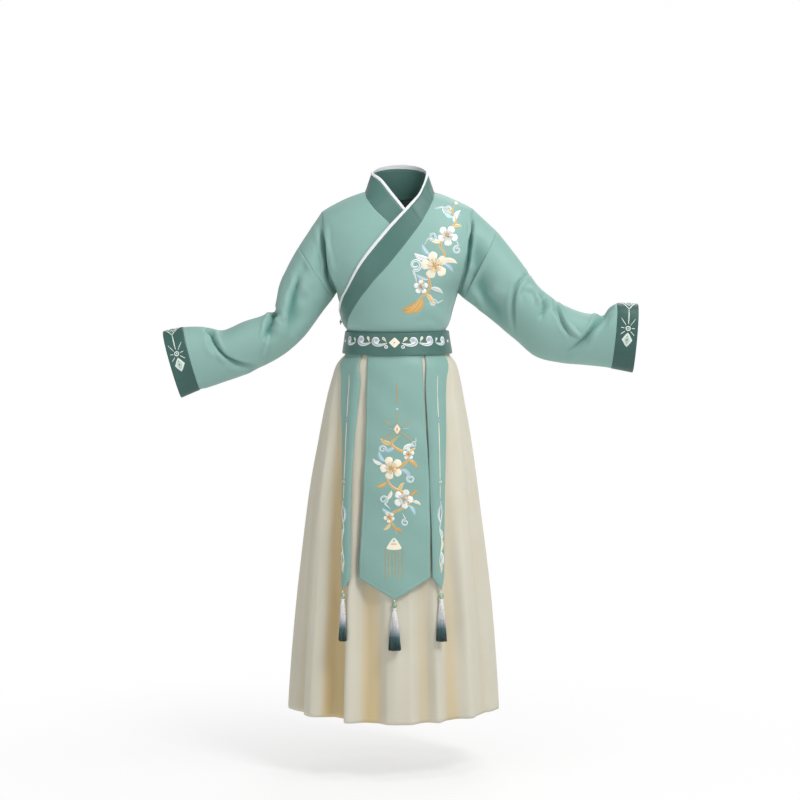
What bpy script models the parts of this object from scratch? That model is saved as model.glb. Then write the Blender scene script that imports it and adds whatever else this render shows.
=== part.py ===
"""A child's hanfu as it is worn: a cross-collared top with wide sleeves, a belt with three hanging
panels and their tassels, and a long pleated skirt.

Units are metres, +Z is up and the wearer faces -Y, so +X is the wearer's left. The origin is the
middle of the neck opening, level with the shoulder seams at the neck. Every cloth piece is one wall
of cloth, a sheet of points thickened outwards, and pieces stop a seam's gap short of each other."""

import math
from collections import namedtuple

import bmesh
import bpy
from mathutils import Vector

# Cloth thicknesses and the gaps between pieces.
CLOTH = 0.0015
BAND = 0.0022
SEAM_GAP = 0.0003
CURVED_SEAM_GAP = 0.0008
EDGE_TRIM = SEAM_GAP / 2
LAYER = 0.0036
WELD = 0.00002

# Colours of the cloths, as linear red, green and blue with roughness.
MINT = ("mint_cloth", (0.245, 0.500, 0.430), 0.62)
GREEN = ("green_satin", (0.075, 0.235, 0.185), 0.45)
CREAM = ("cream_cloth", (0.700, 0.665, 0.520), 0.70)
WHITE = ("white_cloth", (0.820, 0.830, 0.810), 0.60)
JADE = ("jade_bead", (0.200, 0.380, 0.230), 0.20)
THREAD = ("tassel_thread", (0.260, 0.360, 0.370), 0.50)

# The body of the top, from its hem under the belt up to the shoulder ridge. Each row is one level:
# the side or armhole point, then the middle of the front and of the back.
BodyRow = namedtuple("BodyRow", "side_x side_y side_z front_y front_z back_y back_z")
BODY = (
    BodyRow(0.0810, 0.000, -0.2630, -0.0665, -0.2630, 0.0640, -0.2630),
    BodyRow(0.0835, 0.000, -0.2440, -0.0695, -0.2450, 0.0660, -0.2440),
    BodyRow(0.0935, 0.000, -0.2270, -0.0815, -0.2290, 0.0765, -0.2270),
    BodyRow(0.0990, 0.000, -0.2050, -0.0875, -0.2050, 0.0830, -0.2050),
    BodyRow(0.1080, 0.000, -0.1755, -0.0920, -0.1750, 0.0880, -0.1750),
    BodyRow(0.1170, 0.037, -0.1470, -0.0925, -0.1440, 0.0910, -0.1440),
    BodyRow(0.1235, 0.051, -0.1120, -0.0890, -0.1080, 0.0910, -0.1080),
    BodyRow(0.1275, 0.049, -0.0770, -0.0800, -0.0690, 0.0850, -0.0690),
    BodyRow(0.1305, 0.037, -0.0500, -0.0660, -0.0350, 0.0700, -0.0350),
    BodyRow(0.1330, 0.021, -0.0350, -0.0440, -0.0050, 0.0460, -0.0050),
    BodyRow(0.1345, 0.000, -0.0280, 0.0000, 0.0160, 0.0000, 0.0160),
)
ARMPIT_ROW = 4
LEFT_SHOULDER_RISE = 0.0055
TOP_ROW = len(BODY) - 1
# How finely the top is drawn: rows below and above the armpit, and columns across its pieces.
CHEST_ROWS = 8
SHOULDER_ROWS = 10
FRONT_COLUMNS = 12
SHOULDER_COLUMNS = 5
WEDGE_COLUMNS = 3

# The collar band: where its seam and its free edge run in the front view. The outer half crosses
# from the left shoulder to the right side of the waist, and the under half lies below it.
CollarRow = namedtuple("CollarRow", "seam_x seam_z edge_x edge_z")
OUTER_COLLAR = (
    CollarRow(-0.0830, -0.2600, -0.1080, -0.2560),
    CollarRow(-0.0860, -0.2400, -0.1080, -0.2330),
    CollarRow(-0.0833, -0.2200, -0.1010, -0.2050),
    CollarRow(-0.0731, -0.1993, -0.0945, -0.1780),
    CollarRow(-0.0587, -0.1766, -0.0800, -0.1460),
    CollarRow(-0.0400, -0.1519, -0.0640, -0.1175),
    CollarRow(-0.0173, -0.1271, -0.0440, -0.0910),
    CollarRow(0.0115, -0.0918, -0.0160, -0.0580),
    CollarRow(0.0322, -0.0650, 0.0080, -0.0330),
    CollarRow(0.0446, -0.0475, 0.0240, -0.0160),
)
UNDER_COLLAR = (
    CollarRow(-0.0126, -0.0520, 0.0190, -0.0310),
    CollarRow(0.0010, -0.0700, 0.0340, -0.0500),
    CollarRow(0.0120, -0.0980, 0.0470, -0.0860),
    CollarRow(0.0180, -0.1400, 0.0560, -0.1340),
    CollarRow(0.0200, -0.2000, 0.0590, -0.1960),
    CollarRow(0.0200, -0.2600, 0.0570, -0.2600),
)
# The neck, where the band stands up: a seam on the body's front, and a free edge in the open.
NeckRow = namedtuple("NeckRow", "seam_x seam_z edge_x edge_y edge_z")
LEFT_NECK = (
    NeckRow(0.0571, -0.0257, 0.0375, -0.0410, 0.0010),
    NeckRow(0.0630, -0.0110, 0.0465, -0.0230, 0.0200),
)
RIGHT_NECK = (
    NeckRow(-0.0535, -0.0070, -0.0270, -0.0190, 0.0270),
    NeckRow(-0.0440, -0.0210, -0.0110, -0.0365, 0.0065),
    NeckRow(-0.0300, -0.0360, 0.0040, -0.0490, -0.0120),
)
# Behind the shoulder ridge both run on ovals round the neck, which sits a little to the left.
NECK_MIDDLE = 0.0045
NECK_HALF_WIDTH = 0.0610
NECK_BACK = 0.0480
NECK_EDGE_HALF_WIDTH = 0.0470
NECK_EDGE_BACK = 0.0380
NECK_SIDE_HEIGHT = 0.0390
NAPE_HEIGHT = 0.0555
NECK_STEPS = 10
NECK_FOOT_DROP = 0.0022
# Points along the collar for each row of its tables.
COLLAR_SPLIT = 3
# Where the band's columns of points lie across it, and where the piping begins and ends.
BAND_COLUMN_SHARES = (0.0, 0.30, 0.60, 0.885)
PIPING_SHARES = (0.903, 1.0)
# How far the band leans out of the body's own surface where it stands.
STAND_TRIM = BAND + SEAM_GAP

# Sleeves: the top and bottom of each section in the front view, its half depth and how far forward.
SleeveRow = namedtuple("SleeveRow", "top_x top_z low_x low_z half_depth forward")
RIGHT_SLEEVE = (
    SleeveRow(-0.1764, -0.0945, -0.1165, -0.1850, 0.0500, 0.002),
    SleeveRow(-0.1955, -0.1296, -0.1386, -0.2130, 0.0480, 0.006),
    SleeveRow(-0.2110, -0.1638, -0.1674, -0.2520, 0.0460, 0.012),
    SleeveRow(-0.2195, -0.1995, -0.2016, -0.2830, 0.0450, 0.018),
    SleeveRow(-0.2376, -0.2155, -0.2394, -0.3045, 0.0435, 0.024),
    SleeveRow(-0.2736, -0.2275, -0.2736, -0.3205, 0.0415, 0.030),
    SleeveRow(-0.3114, -0.2430, -0.3114, -0.3335, 0.0400, 0.036),
    SleeveRow(-0.3402, -0.2370, -0.3400, -0.3430, 0.0385, 0.042),
    SleeveRow(-0.3800, -0.2370, -0.3520, -0.3455, 0.0370, 0.048),
    SleeveRow(-0.4165, -0.2450, -0.3855, -0.3595, 0.0350, 0.054),
)
LEFT_SLEEVE = (
    SleeveRow(0.1785, -0.0670, 0.1195, -0.1840, 0.0500, 0.002),
    SleeveRow(0.2015, -0.0962, 0.1490, -0.2058, 0.0480, 0.006),
    SleeveRow(0.2265, -0.1290, 0.1792, -0.2310, 0.0460, 0.012),
    SleeveRow(0.2512, -0.1635, 0.2130, -0.2585, 0.0450, 0.018),
    SleeveRow(0.2738, -0.1835, 0.2490, -0.2880, 0.0440, 0.024),
    SleeveRow(0.3030, -0.2010, 0.2915, -0.2985, 0.0425, 0.032),
    SleeveRow(0.3370, -0.2125, 0.3325, -0.3020, 0.0410, 0.040),
    SleeveRow(0.3640, -0.2105, 0.3620, -0.3045, 0.0395, 0.048),
    SleeveRow(0.3900, -0.1950, 0.3805, -0.3068, 0.0380, 0.055),
    SleeveRow(0.4272, -0.1955, 0.4188, -0.3140, 0.0360, 0.062),
)
SLEEVE_END = 8
CUFF_END = 9
SLEEVE_FULLNESS = 0.22
STATION_LENGTH = 0.036
SLEEVE_RADIUS = 0.045
SLEEVE_COLUMNS = 22
SLEEVE_ROWS = 17
CUFF_ROWS = 2

# Folds of a sleeve: a line on it from one place to another, in sections along it and degrees round
# it from the top over the front, with the fold's half width and its height, below zero for a trough.
SleeveFold = namedtuple("SleeveFold", "from_row from_deg to_row to_deg half_width height")
RIGHT_FOLDS = (
    SleeveFold(0.6, 52, 3.4, 62, 0.016, -0.0060),
    SleeveFold(3.6, 10, 3.5, 150, 0.014, -0.0075),
    SleeveFold(4.3, 0, 3.9, 160, 0.013, 0.0060),
    SleeveFold(6.6, 8, 5.2, 120, 0.014, -0.0070),
    SleeveFold(5.2, 120, 4.2, 168, 0.014, -0.0050),
    SleeveFold(6.9, 12, 6.0, 110, 0.014, 0.0050),
    SleeveFold(3.4, 200, 4.6, 330, 0.016, -0.0065),
    SleeveFold(6.4, 215, 5.4, 300, 0.015, -0.0055),
)
LEFT_FOLDS = (
    SleeveFold(3.3, 30, 3.9, 130, 0.014, -0.0060),
    SleeveFold(4.2, 8, 4.5, 55, 0.012, -0.0055),
    SleeveFold(5.0, 12, 5.6, 120, 0.012, 0.0050),
    SleeveFold(4.4, 60, 5.2, 150, 0.015, -0.0050),
    SleeveFold(7.3, 10, 5.8, 135, 0.015, -0.0070),
    SleeveFold(7.7, 25, 6.6, 110, 0.014, 0.0050),
    SleeveFold(3.4, 210, 4.4, 330, 0.016, -0.0065),
    SleeveFold(6.9, 220, 5.9, 310, 0.015, -0.0055),
)

# The skirt: half width and half depth at levels down it, with its small lean to the right side.
SkirtRow = namedtuple("SkirtRow", "level half_width front_depth back_depth middle_x")
SKIRT = (
    SkirtRow(-0.2700, 0.0902, 0.0764, 0.0728, 0.0000),
    SkirtRow(-0.2860, 0.0920, 0.0780, 0.0752, 0.0000),
    SkirtRow(-0.2960, 0.1000, 0.0832, 0.0820, -0.0006),
    SkirtRow(-0.3080, 0.1075, 0.0868, 0.0875, -0.0014),
    SkirtRow(-0.3360, 0.1150, 0.0910, 0.0935, -0.0024),
    SkirtRow(-0.3690, 0.1220, 0.0950, 0.0990, -0.0035),
    SkirtRow(-0.4410, 0.1355, 0.1040, 0.1080, -0.0045),
    SkirtRow(-0.5490, 0.1520, 0.1170, 0.1200, -0.0060),
    SkirtRow(-0.6930, 0.1675, 0.1310, 0.1330, -0.0060),
    SkirtRow(-0.8370, 0.1800, 0.1430, 0.1450, -0.0060),
    SkirtRow(-0.9260, 0.1865, 0.1495, 0.1515, -0.0060),
)
# Its pleats: ridges above zero and troughs below, with where each starts at the waist and ends at
# the hem, in degrees from the middle of the front towards the wearer's left.
Pleat = namedtuple("Pleat", "waist_deg hem_deg height")
PLEATS = (
    Pleat(-178, -177, 0.007),
    Pleat(-163, -160, -0.013),
    Pleat(-148, -143, 0.010),
    Pleat(-133, -126, -0.014),
    Pleat(-119, -112, 0.008),
    Pleat(-105, -98, -0.007),
    Pleat(-92, -82, 0.005),
    Pleat(-81, -65, -0.006),
    Pleat(-73, -51, 0.007),
    Pleat(-62, -38.5, -0.024),
    Pleat(-41, -25.5, 0.010),
    Pleat(-30, -14.5, -0.013),
    Pleat(-12, -3, 0.003),
    Pleat(12, 9, 0.004),
    Pleat(28, 17.5, -0.007),
    Pleat(38, 25, 0.006),
    Pleat(53, 34, -0.009),
    Pleat(67, 46, 0.008),
    Pleat(80, 61, -0.005),
    Pleat(93, 78, 0.006),
    Pleat(106, 95, -0.008),
    Pleat(120, 110, 0.009),
    Pleat(134, 125, -0.014),
    Pleat(149, 142, 0.011),
    Pleat(164, 159, -0.013),
)
HEM_DIP = 0.0060
PLEAT_DRIFT = 2.5
PLEAT_START = 0.06
PLEAT_GROWTH = 0.85
POINTS_A_FLANK = 2
SKIRT_LEVELS = (
    -0.2700, -0.2860, -0.2960, -0.3080, -0.3360, -0.3780,
    -0.4400, -0.5300, -0.6300, -0.7300, -0.8300, -0.9260,
)
# Its two side seams drift as the pleats do.
SkirtSeam = namedtuple("SkirtSeam", "waist_deg hem_deg")
RIGHT_SEAM = SkirtSeam(-98.5, -90.5)
LEFT_SEAM = SkirtSeam(99.5, 87.0)
SEAM_TRIM_DEG = 0.14

# Belt and waistband: the belt flares over the skirt's top, and its end laps over itself at the back.
BandRow = namedtuple("BandRow", "level half_width front_depth back_depth")
BELT = (
    BandRow(-0.2440, 0.0914, 0.0784, 0.0745),
    BandRow(-0.2640, 0.0940, 0.0805, 0.0772),
    BandRow(-0.2845, 0.0974, 0.0840, 0.0808),
)
WAISTBAND = (
    BandRow(-0.2545, 0.0893, 0.0756, 0.0715),
    BandRow(-0.2690, 0.0898, 0.0760, 0.0728),
)
BELT_LAP_DEG = 18
BAND_COLUMNS = 48

# The three panels that hang from under the belt. A side panel lies on the skirt between two angles.
PANEL_TOP = -0.2720
CentrePanelRow = namedtuple("CentrePanelRow", "level right_x left_x clear")
CENTRE_PANEL = (
    CentrePanelRow(-0.2720, -0.0523, 0.0435, 0.0030),
    CentrePanelRow(-0.2860, -0.0526, 0.0440, 0.0030),
    CentrePanelRow(-0.3080, -0.0533, 0.0451, 0.0036),
    CentrePanelRow(-0.3400, -0.0542, 0.0467, 0.0046),
    CentrePanelRow(-0.4240, -0.0556, 0.0514, 0.0066),
    CentrePanelRow(-0.5020, -0.0594, 0.0566, 0.0080),
    CentrePanelRow(-0.5890, -0.0635, 0.0580, 0.0095),
    CentrePanelRow(-0.6730, -0.0681, 0.0590, 0.0110),
)
CENTRE_POINT_DROP = 0.0360
SidePanelRow = namedtuple("SidePanelRow", "level from_deg to_deg clear")
RIGHT_PANEL = (
    SidePanelRow(-0.2720, -76.0, -43.0, 0.0026),
    SidePanelRow(-0.2860, -75.0, -41.5, 0.0028),
    SidePanelRow(-0.3080, -66.0, -37.0, 0.0040),
    SidePanelRow(-0.3400, -56.5, -32.5, 0.0044),
    SidePanelRow(-0.4260, -46.0, -31.2, 0.0054),
    SidePanelRow(-0.5040, -39.0, -29.6, 0.0068),
    SidePanelRow(-0.5910, -33.6, -27.6, 0.0084),
    SidePanelRow(-0.6720, -29.9, -26.0, 0.0098),
)
LEFT_PANEL = (
    SidePanelRow(-0.2720, 32.5, 66.0, 0.0026),
    SidePanelRow(-0.2860, 31.0, 64.5, 0.0028),
    SidePanelRow(-0.3080, 28.4, 57.0, 0.0040),
    SidePanelRow(-0.3400, 26.4, 49.0, 0.0044),
    SidePanelRow(-0.4260, 26.0, 42.4, 0.0054),
    SidePanelRow(-0.5040, 26.0, 36.8, 0.0068),
    SidePanelRow(-0.5910, 25.6, 32.0, 0.0084),
    SidePanelRow(-0.6720, 24.8, 28.8, 0.0098),
)
SIDE_POINT_DROP = 0.0240
PANEL_LEVELS = (PANEL_TOP, *SKIRT_LEVELS[1:])
PANEL_ROWS = 10
CENTRE_COLUMNS = 8
SIDE_COLUMNS = 4

# Tassels: a cord from the panel's point, a jade bead, a bound head and strands that spread.
BEAD_RADIUS = 0.0048
TASSEL_CORD_RADIUS = 0.0008
TASSEL_CORD_LENGTH = 0.0040
TASSEL_HEAD_RADIUS = 0.0034
TASSEL_HEAD_LENGTH = 0.0080
TASSEL_LENGTH = 0.0660
TASSEL_LEAN = 0.0120
StrandLevel = namedtuple("StrandLevel", "share spread grow flatten")
STRAND_LEVELS = (
    StrandLevel(0.0, 1.0, 0.66, 1.0),
    StrandLevel(0.35, 2.05, 1.30, 0.80),
    StrandLevel(1.0, 1.60, 1.20, 0.92),
)
STRAND_RINGS = (0.72, 0.44, 0.18)

# The button and loop that close the outer front at the right side of the waist.
BUTTON_RADIUS = 0.0027
LOOP_RADIUS = 0.0041
LOOP_THICKNESS = 0.0008
BUTTON_PLACE = (-0.1022, 0.0040, -0.2285)


def blend(table, place):
    """The table's row at a place between its rows, on a smooth curve through them."""
    last = len(table) - 1
    place = min(max(place, 0.0), float(last))
    index = min(int(place), last - 1)
    step = place - index
    before = table[max(index - 1, 0)]
    start, end = table[index], table[index + 1]
    after = table[min(index + 2, last)]
    mixed = []
    for a, b, c, d in zip(before, start, end, after):
        slope_in, slope_out = (c - a) / 2, (d - b) / 2
        mixed.append(
            b
            + slope_in * step
            + (3 * (c - b) - 2 * slope_in - slope_out) * step**2
            + (2 * (b - c) + slope_in + slope_out) * step**3
        )
    return type(start)(*mixed)


def place_at(table, value):
    """The place in a table of levels, counted in rows, where the level has this value."""
    low, high = 0.0, float(len(table) - 1)
    for _ in range(40):
        middle = (low + high) / 2
        if blend(table, middle).level > value:
            low = middle
        else:
            high = middle
    return (low + high) / 2


def smooth_step(value, start, end):
    """0 before start, 1 past end, with a soft rise between them."""
    share = min(max((value - start) / (end - start), 0.0), 1.0)
    return share * share * (3 - 2 * share)


def body_point(row, turn, face):
    """A point on the body: turn is 0 at the wearer's left side and pi at the right, face -1 in front.

    Past pi it comes round to the other face. Front and back stop half a seam's gap from y = 0."""
    if turn > math.pi:
        turn, face = 2 * math.pi - turn, -face
    level = blend(BODY, row)
    middle_y, middle_z = (level.front_y, level.front_z) if face < 0 else (level.back_y, level.back_z)
    bow = math.sin(turn)
    side_y = max(level.side_y, 0.0) * face
    deep = side_y + (middle_y - side_y) * bow
    x = level.side_x * math.cos(turn)
    outwards = max(x, 0.0) / BODY[-1].side_x
    rise = LEFT_SHOULDER_RISE * outwards**2 * smooth_step(row, ARMPIT_ROW, TOP_ROW)
    height = level.side_z + (middle_z - level.side_z) * bow * bow + rise
    return Vector((x, max(deep * face, EDGE_TRIM) * face, height))


def body_row_at(x, face, wanted):
    """The row where the body, at this x, passes the point that wanted() says is below or above."""
    low, high = 0.0, float(TOP_ROW)
    for _ in range(40):
        middle = (low + high) / 2
        if wanted(body_point(middle, turn_at(middle, x), face)):
            low = middle
        else:
            high = middle
    return (low + high) / 2


def turn_at(row, x):
    """The turn round the body at which a row reaches this x. An x past the side goes on round it."""
    share = x / blend(BODY, row).side_x
    return math.acos(min(max(share, -1.0), 1.0)) + max(-1.0 - share, 0.0)


def front_point(x, z):
    """The body's front at a place of the front view."""
    row = body_row_at(x, -1, lambda point: point.z < z)
    return body_point(row, turn_at(row, x), -1), row


def layer_lift(x, z):
    """How far the outer front stands off the body, because the under front lies between them."""
    return LAYER * smooth_step(-x, -0.098, -0.066) * smooth_step(-z, -0.007, 0.018)


def body_normal(row, turn, face):
    """The direction straight out of the body."""
    step = 0.02
    along = body_point(row, turn + step, face) - body_point(row, max(turn - step, 0.0), face)
    up = body_point(min(row + step, TOP_ROW), turn, face) - body_point(max(row - step, 0), turn, face)
    return up.cross(along).normalized() * -face


def on_chest(x, z, lift):
    """A point of the front view laid on the chest, and lifted off it."""
    point, row = front_point(x, z)
    return point + body_normal(row, turn_at(row, x), -1) * lift


def collar_points(share):
    """The line of points at a share across the collar, from its outer end round to its under end."""
    points = []
    for table, outer in ((OUTER_COLLAR, True), (UNDER_COLLAR, False)):
        for step in range(COLLAR_SPLIT * (len(table) - 1) + 1):
            row = blend(table, step / COLLAR_SPLIT)
            x = row.seam_x + (row.edge_x - row.seam_x) * share
            z = row.seam_z + (row.edge_z - row.seam_z) * share
            points.append(on_chest(x, z, layer_lift(x, z) if outer else 0.0))
        if outer:
            points += neck_points(share)
    return points


def neck_points(share):
    """The collar's points round the neck, at a share across it, from the left side to the right."""
    points = []
    for table, lifted in ((LEFT_NECK, True), (RIGHT_NECK, False)):
        for row in table:
            lift = layer_lift(row.seam_x, row.seam_z) if lifted else 0.0
            seam = on_chest(row.seam_x, row.seam_z, lift)
            points.append(seam.lerp(Vector((row.edge_x, row.edge_y, row.edge_z)), share))
        if not lifted:
            continue
        for step in range(NECK_STEPS + 1):
            turn = math.pi * step / NECK_STEPS
            x, y = NECK_MIDDLE + NECK_HALF_WIDTH * math.cos(turn), NECK_BACK * math.sin(turn)
            row = body_row_at(x, 1, lambda point, y=y: point.y > y)
            rise = NECK_SIDE_HEIGHT + (NAPE_HEIGHT - NECK_SIDE_HEIGHT) * math.sin(turn)
            edge_x = NECK_MIDDLE + NECK_EDGE_HALF_WIDTH * math.cos(turn)
            edge = Vector((edge_x, NECK_EDGE_BACK * math.sin(turn), rise))
            foot = body_point(row, turn_at(row, x), 1) - Vector((0, 0, NECK_FOOT_DROP))
            points.append(foot.lerp(edge, share))
    return points


COLLAR_LINES = {share: collar_points(share) for share in (*BAND_COLUMN_SHARES, *PIPING_SHARES)}
COLLAR_SEAM, COLLAR_EDGE = COLLAR_LINES[0.0], COLLAR_LINES[1.0]
LAST_OUTER = COLLAR_SPLIT * (len(OUTER_COLLAR) - 1) + 1 + len(LEFT_NECK)
FIRST_UNDER = LAST_OUTER + NECK_STEPS


def seam_places():
    """Where the collar's seam crosses the body in the front view, for each of its points."""
    places = []
    for table, neck in ((OUTER_COLLAR, LEFT_NECK), (UNDER_COLLAR, RIGHT_NECK)):
        steps = range(COLLAR_SPLIT * (len(table) - 1) + 1)
        rows = [blend(table, step / COLLAR_SPLIT) for step in steps]
        chest = [(row.seam_x, row.seam_z) for row in rows]
        throat = [(row.seam_x, row.seam_z) for row in neck]
        if table is OUTER_COLLAR:
            places = chest + throat + [(p.x, p.z) for p in COLLAR_SEAM[LAST_OUTER:FIRST_UNDER + 1]]
        else:
            places += throat + chest
    return places


def seam_table(first, last, lean):
    """The collar's seam between two of its points, as body rows, the x there and the gap to leave.

    The gap grows where the band stands up, by the more the further it leans over the cloth."""
    table = []
    for index in range(first, last + 1):
        x, z = SEAM_PLACES[index]
        row = front_point(x, z)[1]
        across = (COLLAR_LINES[BAND_COLUMN_SHARES[1]][index] - COLLAR_SEAM[index]).normalized()
        stand = max(across.dot(body_normal(row, turn_at(row, x), -1)), 0.0)
        before, after = SEAM_PLACES[max(index - 1, first)], SEAM_PLACES[min(index + 1, last)]
        run, rise = after[0] - before[0], after[1] - before[1]
        slant = math.hypot(run, rise) / max(abs(rise), 0.4 * abs(run))
        table.append((row, x, (CURVED_SEAM_GAP + STAND_TRIM * stand) * lean * slant))
    return sorted(table)


def seam_at(table, row):
    """The seam's x and the gap to leave there, where it crosses a row of the body."""
    for low, high in zip(table, table[1:]):
        if low[0] <= row <= high[0]:
            share = (row - low[0]) / max(high[0] - low[0], 1e-9)
            return low[1] + (high[1] - low[1]) * share, low[2] + (high[2] - low[2]) * share
    end = table[0] if row < table[0][0] else table[-1]
    return end[1], end[2]


SEAM_PLACES = seam_places()
OUTER_SEAM = seam_table(0, LAST_OUTER, 1.0)
UNDER_SEAM = seam_table(FIRST_UNDER, len(COLLAR_SEAM) - 1, 1.8)


def material_of(finish):
    """The material of a cloth, made once."""
    name, colour, roughness = finish
    material = bpy.data.materials.get(name)
    if material is None:
        material = bpy.data.materials.new(name)
        material.use_nodes = True
        shader = material.node_tree.nodes["Principled BSDF"]
        shader.inputs["Base Color"].default_value = (*colour, 1.0)
        shader.inputs["Roughness"].default_value = roughness
        shader.inputs["Metallic"].default_value = 0.0
    return material


def add_object(name, mesh, finish):
    """An object in the garment's collection, with its material and smooth shading."""
    obj = bpy.data.objects.new(name, mesh)
    obj.data.materials.append(material_of(finish))
    garment.objects.link(obj)
    mesh.shade_smooth()
    return obj


def cloth(name, finish, wall, patches, joined=False):
    """A piece of cloth: grids whose points are placed by functions, welded and given a wall.

    Each patch is (columns, rows, place), and place takes the shares across and up the patch."""
    form = bmesh.new()
    for columns, rows, place in patches:
        made = bmesh.ops.create_grid(form, x_segments=columns, y_segments=rows, size=1.0)
        for vertex in made["verts"]:
            across, up = (vertex.co.x + 1) / 2, (vertex.co.y + 1) / 2
            vertex.co = place(across, up)
    if joined or len(patches) > 1:
        bmesh.ops.remove_doubles(form, verts=form.verts, dist=WELD)
    mesh = bpy.data.meshes.new(name)
    form.to_mesh(mesh)
    form.free()
    obj = add_object(name, mesh, finish)
    split = obj.modifiers.new("triangles", "TRIANGULATE")
    split.quad_method = "SHORTEST_DIAGONAL"
    thickness = obj.modifiers.new("wall", "SOLIDIFY")
    thickness.thickness = wall
    thickness.offset = 1.0
    thickness.use_even_offset = False
    thickness.use_quality_normals = True
    return obj


def sleeve_base(table, row, turn):
    """A point of a sleeve before its folds: turn is 0 at the top and grows over the front."""
    level = blend(table, row)
    side = 1 if level.top_x > 0 else -1
    if row < 0:
        armhole = armhole_point(side, turn)
        first = sleeve_base(table, 0.0, turn)
        return armhole + (first - armhole) * (1 + row)
    top = Vector((level.top_x, -level.forward, level.top_z))
    low = Vector((level.low_x, -level.forward, level.low_z))
    middle, half = (top + low) / 2, (top - low) / 2
    bulge = level.half_depth * math.sin(turn) * (1 + SLEEVE_FULLNESS * math.cos(turn))
    return middle + half * math.cos(turn) - Vector((0, bulge, 0))


def armhole_point(side, turn):
    """The armhole's point at a turn: 0 at the shoulder, pi in the armpit, the front in between."""
    face = -1 if math.sin(turn) > 0 else 1
    share = math.acos(math.cos(turn)) / math.pi
    row = TOP_ROW + (ARMPIT_ROW - TOP_ROW) * share
    return body_point(row, 0.0 if side > 0 else math.pi, face)


def fold_height(folds, row, turn):
    """How far the folds move a sleeve's cloth out at a place on it."""
    height = 0.0
    degrees = math.degrees(turn) % 360
    for fold in folds:
        across = (fold.to_row - fold.from_row) * STATION_LENGTH
        around = math.radians(fold.to_deg - fold.from_deg) * SLEEVE_RADIUS
        away = (row - fold.from_row) * STATION_LENGTH
        swing = math.radians(degrees - fold.from_deg) * SLEEVE_RADIUS
        share = (away * across + swing * around) / (across**2 + around**2)
        nearest = min(max(share, 0.0), 1.0)
        distance = math.hypot(away - nearest * across, swing - nearest * around)
        height += fold.height * math.exp(-((distance / fold.half_width) ** 2))
    return height


def sleeve_point(table, folds, row, turn):
    """A point of a sleeve with its folds, which fade out at its two ends."""
    point = sleeve_base(table, row, turn)
    fade = smooth_step(row, 0.0, 1.0) * smooth_step(-row, -(SLEEVE_END + 0.2), -(SLEEVE_END - 1.0))
    if fade <= 0:
        return point
    level = blend(table, row)
    middle = Vector(((level.top_x + level.low_x) / 2, -level.forward, (level.top_z + level.low_z) / 2))
    out = (point - middle).normalized()
    return point + out * fold_height(folds, row, turn) * fade


def sleeve_head(side, face):
    """The upper sleeve that is cut in one with the body: a patch from the armhole to the joint."""
    table = LEFT_SLEEVE if side > 0 else RIGHT_SLEEVE

    def place(across, up):
        out = across if side * face < 0 else 1 - across
        turn = math.pi * (1 - up)
        point = sleeve_base(table, out - 1.0, -turn * face)
        seam_y = -blend(table, 0.0).forward * out + EDGE_TRIM * face
        point.y = max(point.y * face, seam_y * face) * face
        return point

    return WEDGE_COLUMNS, SHOULDER_ROWS, place


def make_front(name, side, seam):
    """A front panel: the chest from its side seam to the collar, and the top of its sleeve."""
    start = 0.0 if side > 0 else math.pi

    def chest(across, row):
        seam_x, gap = seam_at(seam, row)
        stop = turn_at(row, seam_x + gap * side)
        from_side = across if side < 0 else 1 - across
        turn = start + (stop - start) * from_side
        point = body_point(row, turn, -1)
        if side > 0:
            point += body_normal(row, turn, -1) * layer_lift(point.x, point.z)
        return point

    lower = (FRONT_COLUMNS, CHEST_ROWS, lambda across, up: chest(across, ARMPIT_ROW * up))
    upper = (
        FRONT_COLUMNS,
        SHOULDER_ROWS,
        lambda across, up: chest(across, ARMPIT_ROW + (TOP_ROW - ARMPIT_ROW) * up),
    )
    return cloth(name, MINT, CLOTH, (lower, upper, sleeve_head(side, -1)))


def back_turns(neck_width):
    """The turns of the back's columns: evenly up to the neck, then on the collar's own steps."""
    top = BODY[-1].side_x
    left = math.acos((NECK_MIDDLE + neck_width) / top)
    right = math.acos((NECK_MIDDLE - neck_width) / top)
    turns = [left * step / SHOULDER_COLUMNS for step in range(SHOULDER_COLUMNS)]
    for step in range(NECK_STEPS + 1):
        turns.append(math.acos((NECK_MIDDLE + neck_width * math.cos(math.pi * step / NECK_STEPS)) / top))
    for step in range(1, SHOULDER_COLUMNS + 1):
        turns.append(right + (math.pi - right) * step / SHOULDER_COLUMNS)
    return turns


def make_back():
    """The back panel, from side seam to side seam and up to the neck, with both sleeve tops."""
    neck_width = NECK_HALF_WIDTH + STAND_TRIM + CURVED_SEAM_GAP
    neck_back = NECK_BACK + STAND_TRIM + CURVED_SEAM_GAP
    turns = back_turns(neck_width)
    columns = len(turns) - 1

    def top_row(turn):
        low, high = float(ARMPIT_ROW), float(TOP_ROW)
        if abs(body_point(high, turn, 1).x - NECK_MIDDLE) > neck_width - WELD:
            return high
        for _ in range(40):
            middle = (low + high) / 2
            point = body_point(middle, turn, 1)
            across = (point.x - NECK_MIDDLE) / neck_width
            if across**2 + (point.y / neck_back) ** 2 > 1:
                low = middle
            else:
                high = middle
        return (low + high) / 2

    def lower(across, up):
        return body_point(ARMPIT_ROW * up, turns[round(across * columns)], 1)

    def upper(across, up):
        turn = turns[round(across * columns)]
        return body_point(ARMPIT_ROW + (top_row(turn) - ARMPIT_ROW) * up, turn, 1)

    return cloth("back", MINT, CLOTH, (
        (columns, CHEST_ROWS, lower),
        (columns, SHOULDER_ROWS, upper),
        sleeve_head(1, 1),
        sleeve_head(-1, 1),
    ))


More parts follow.
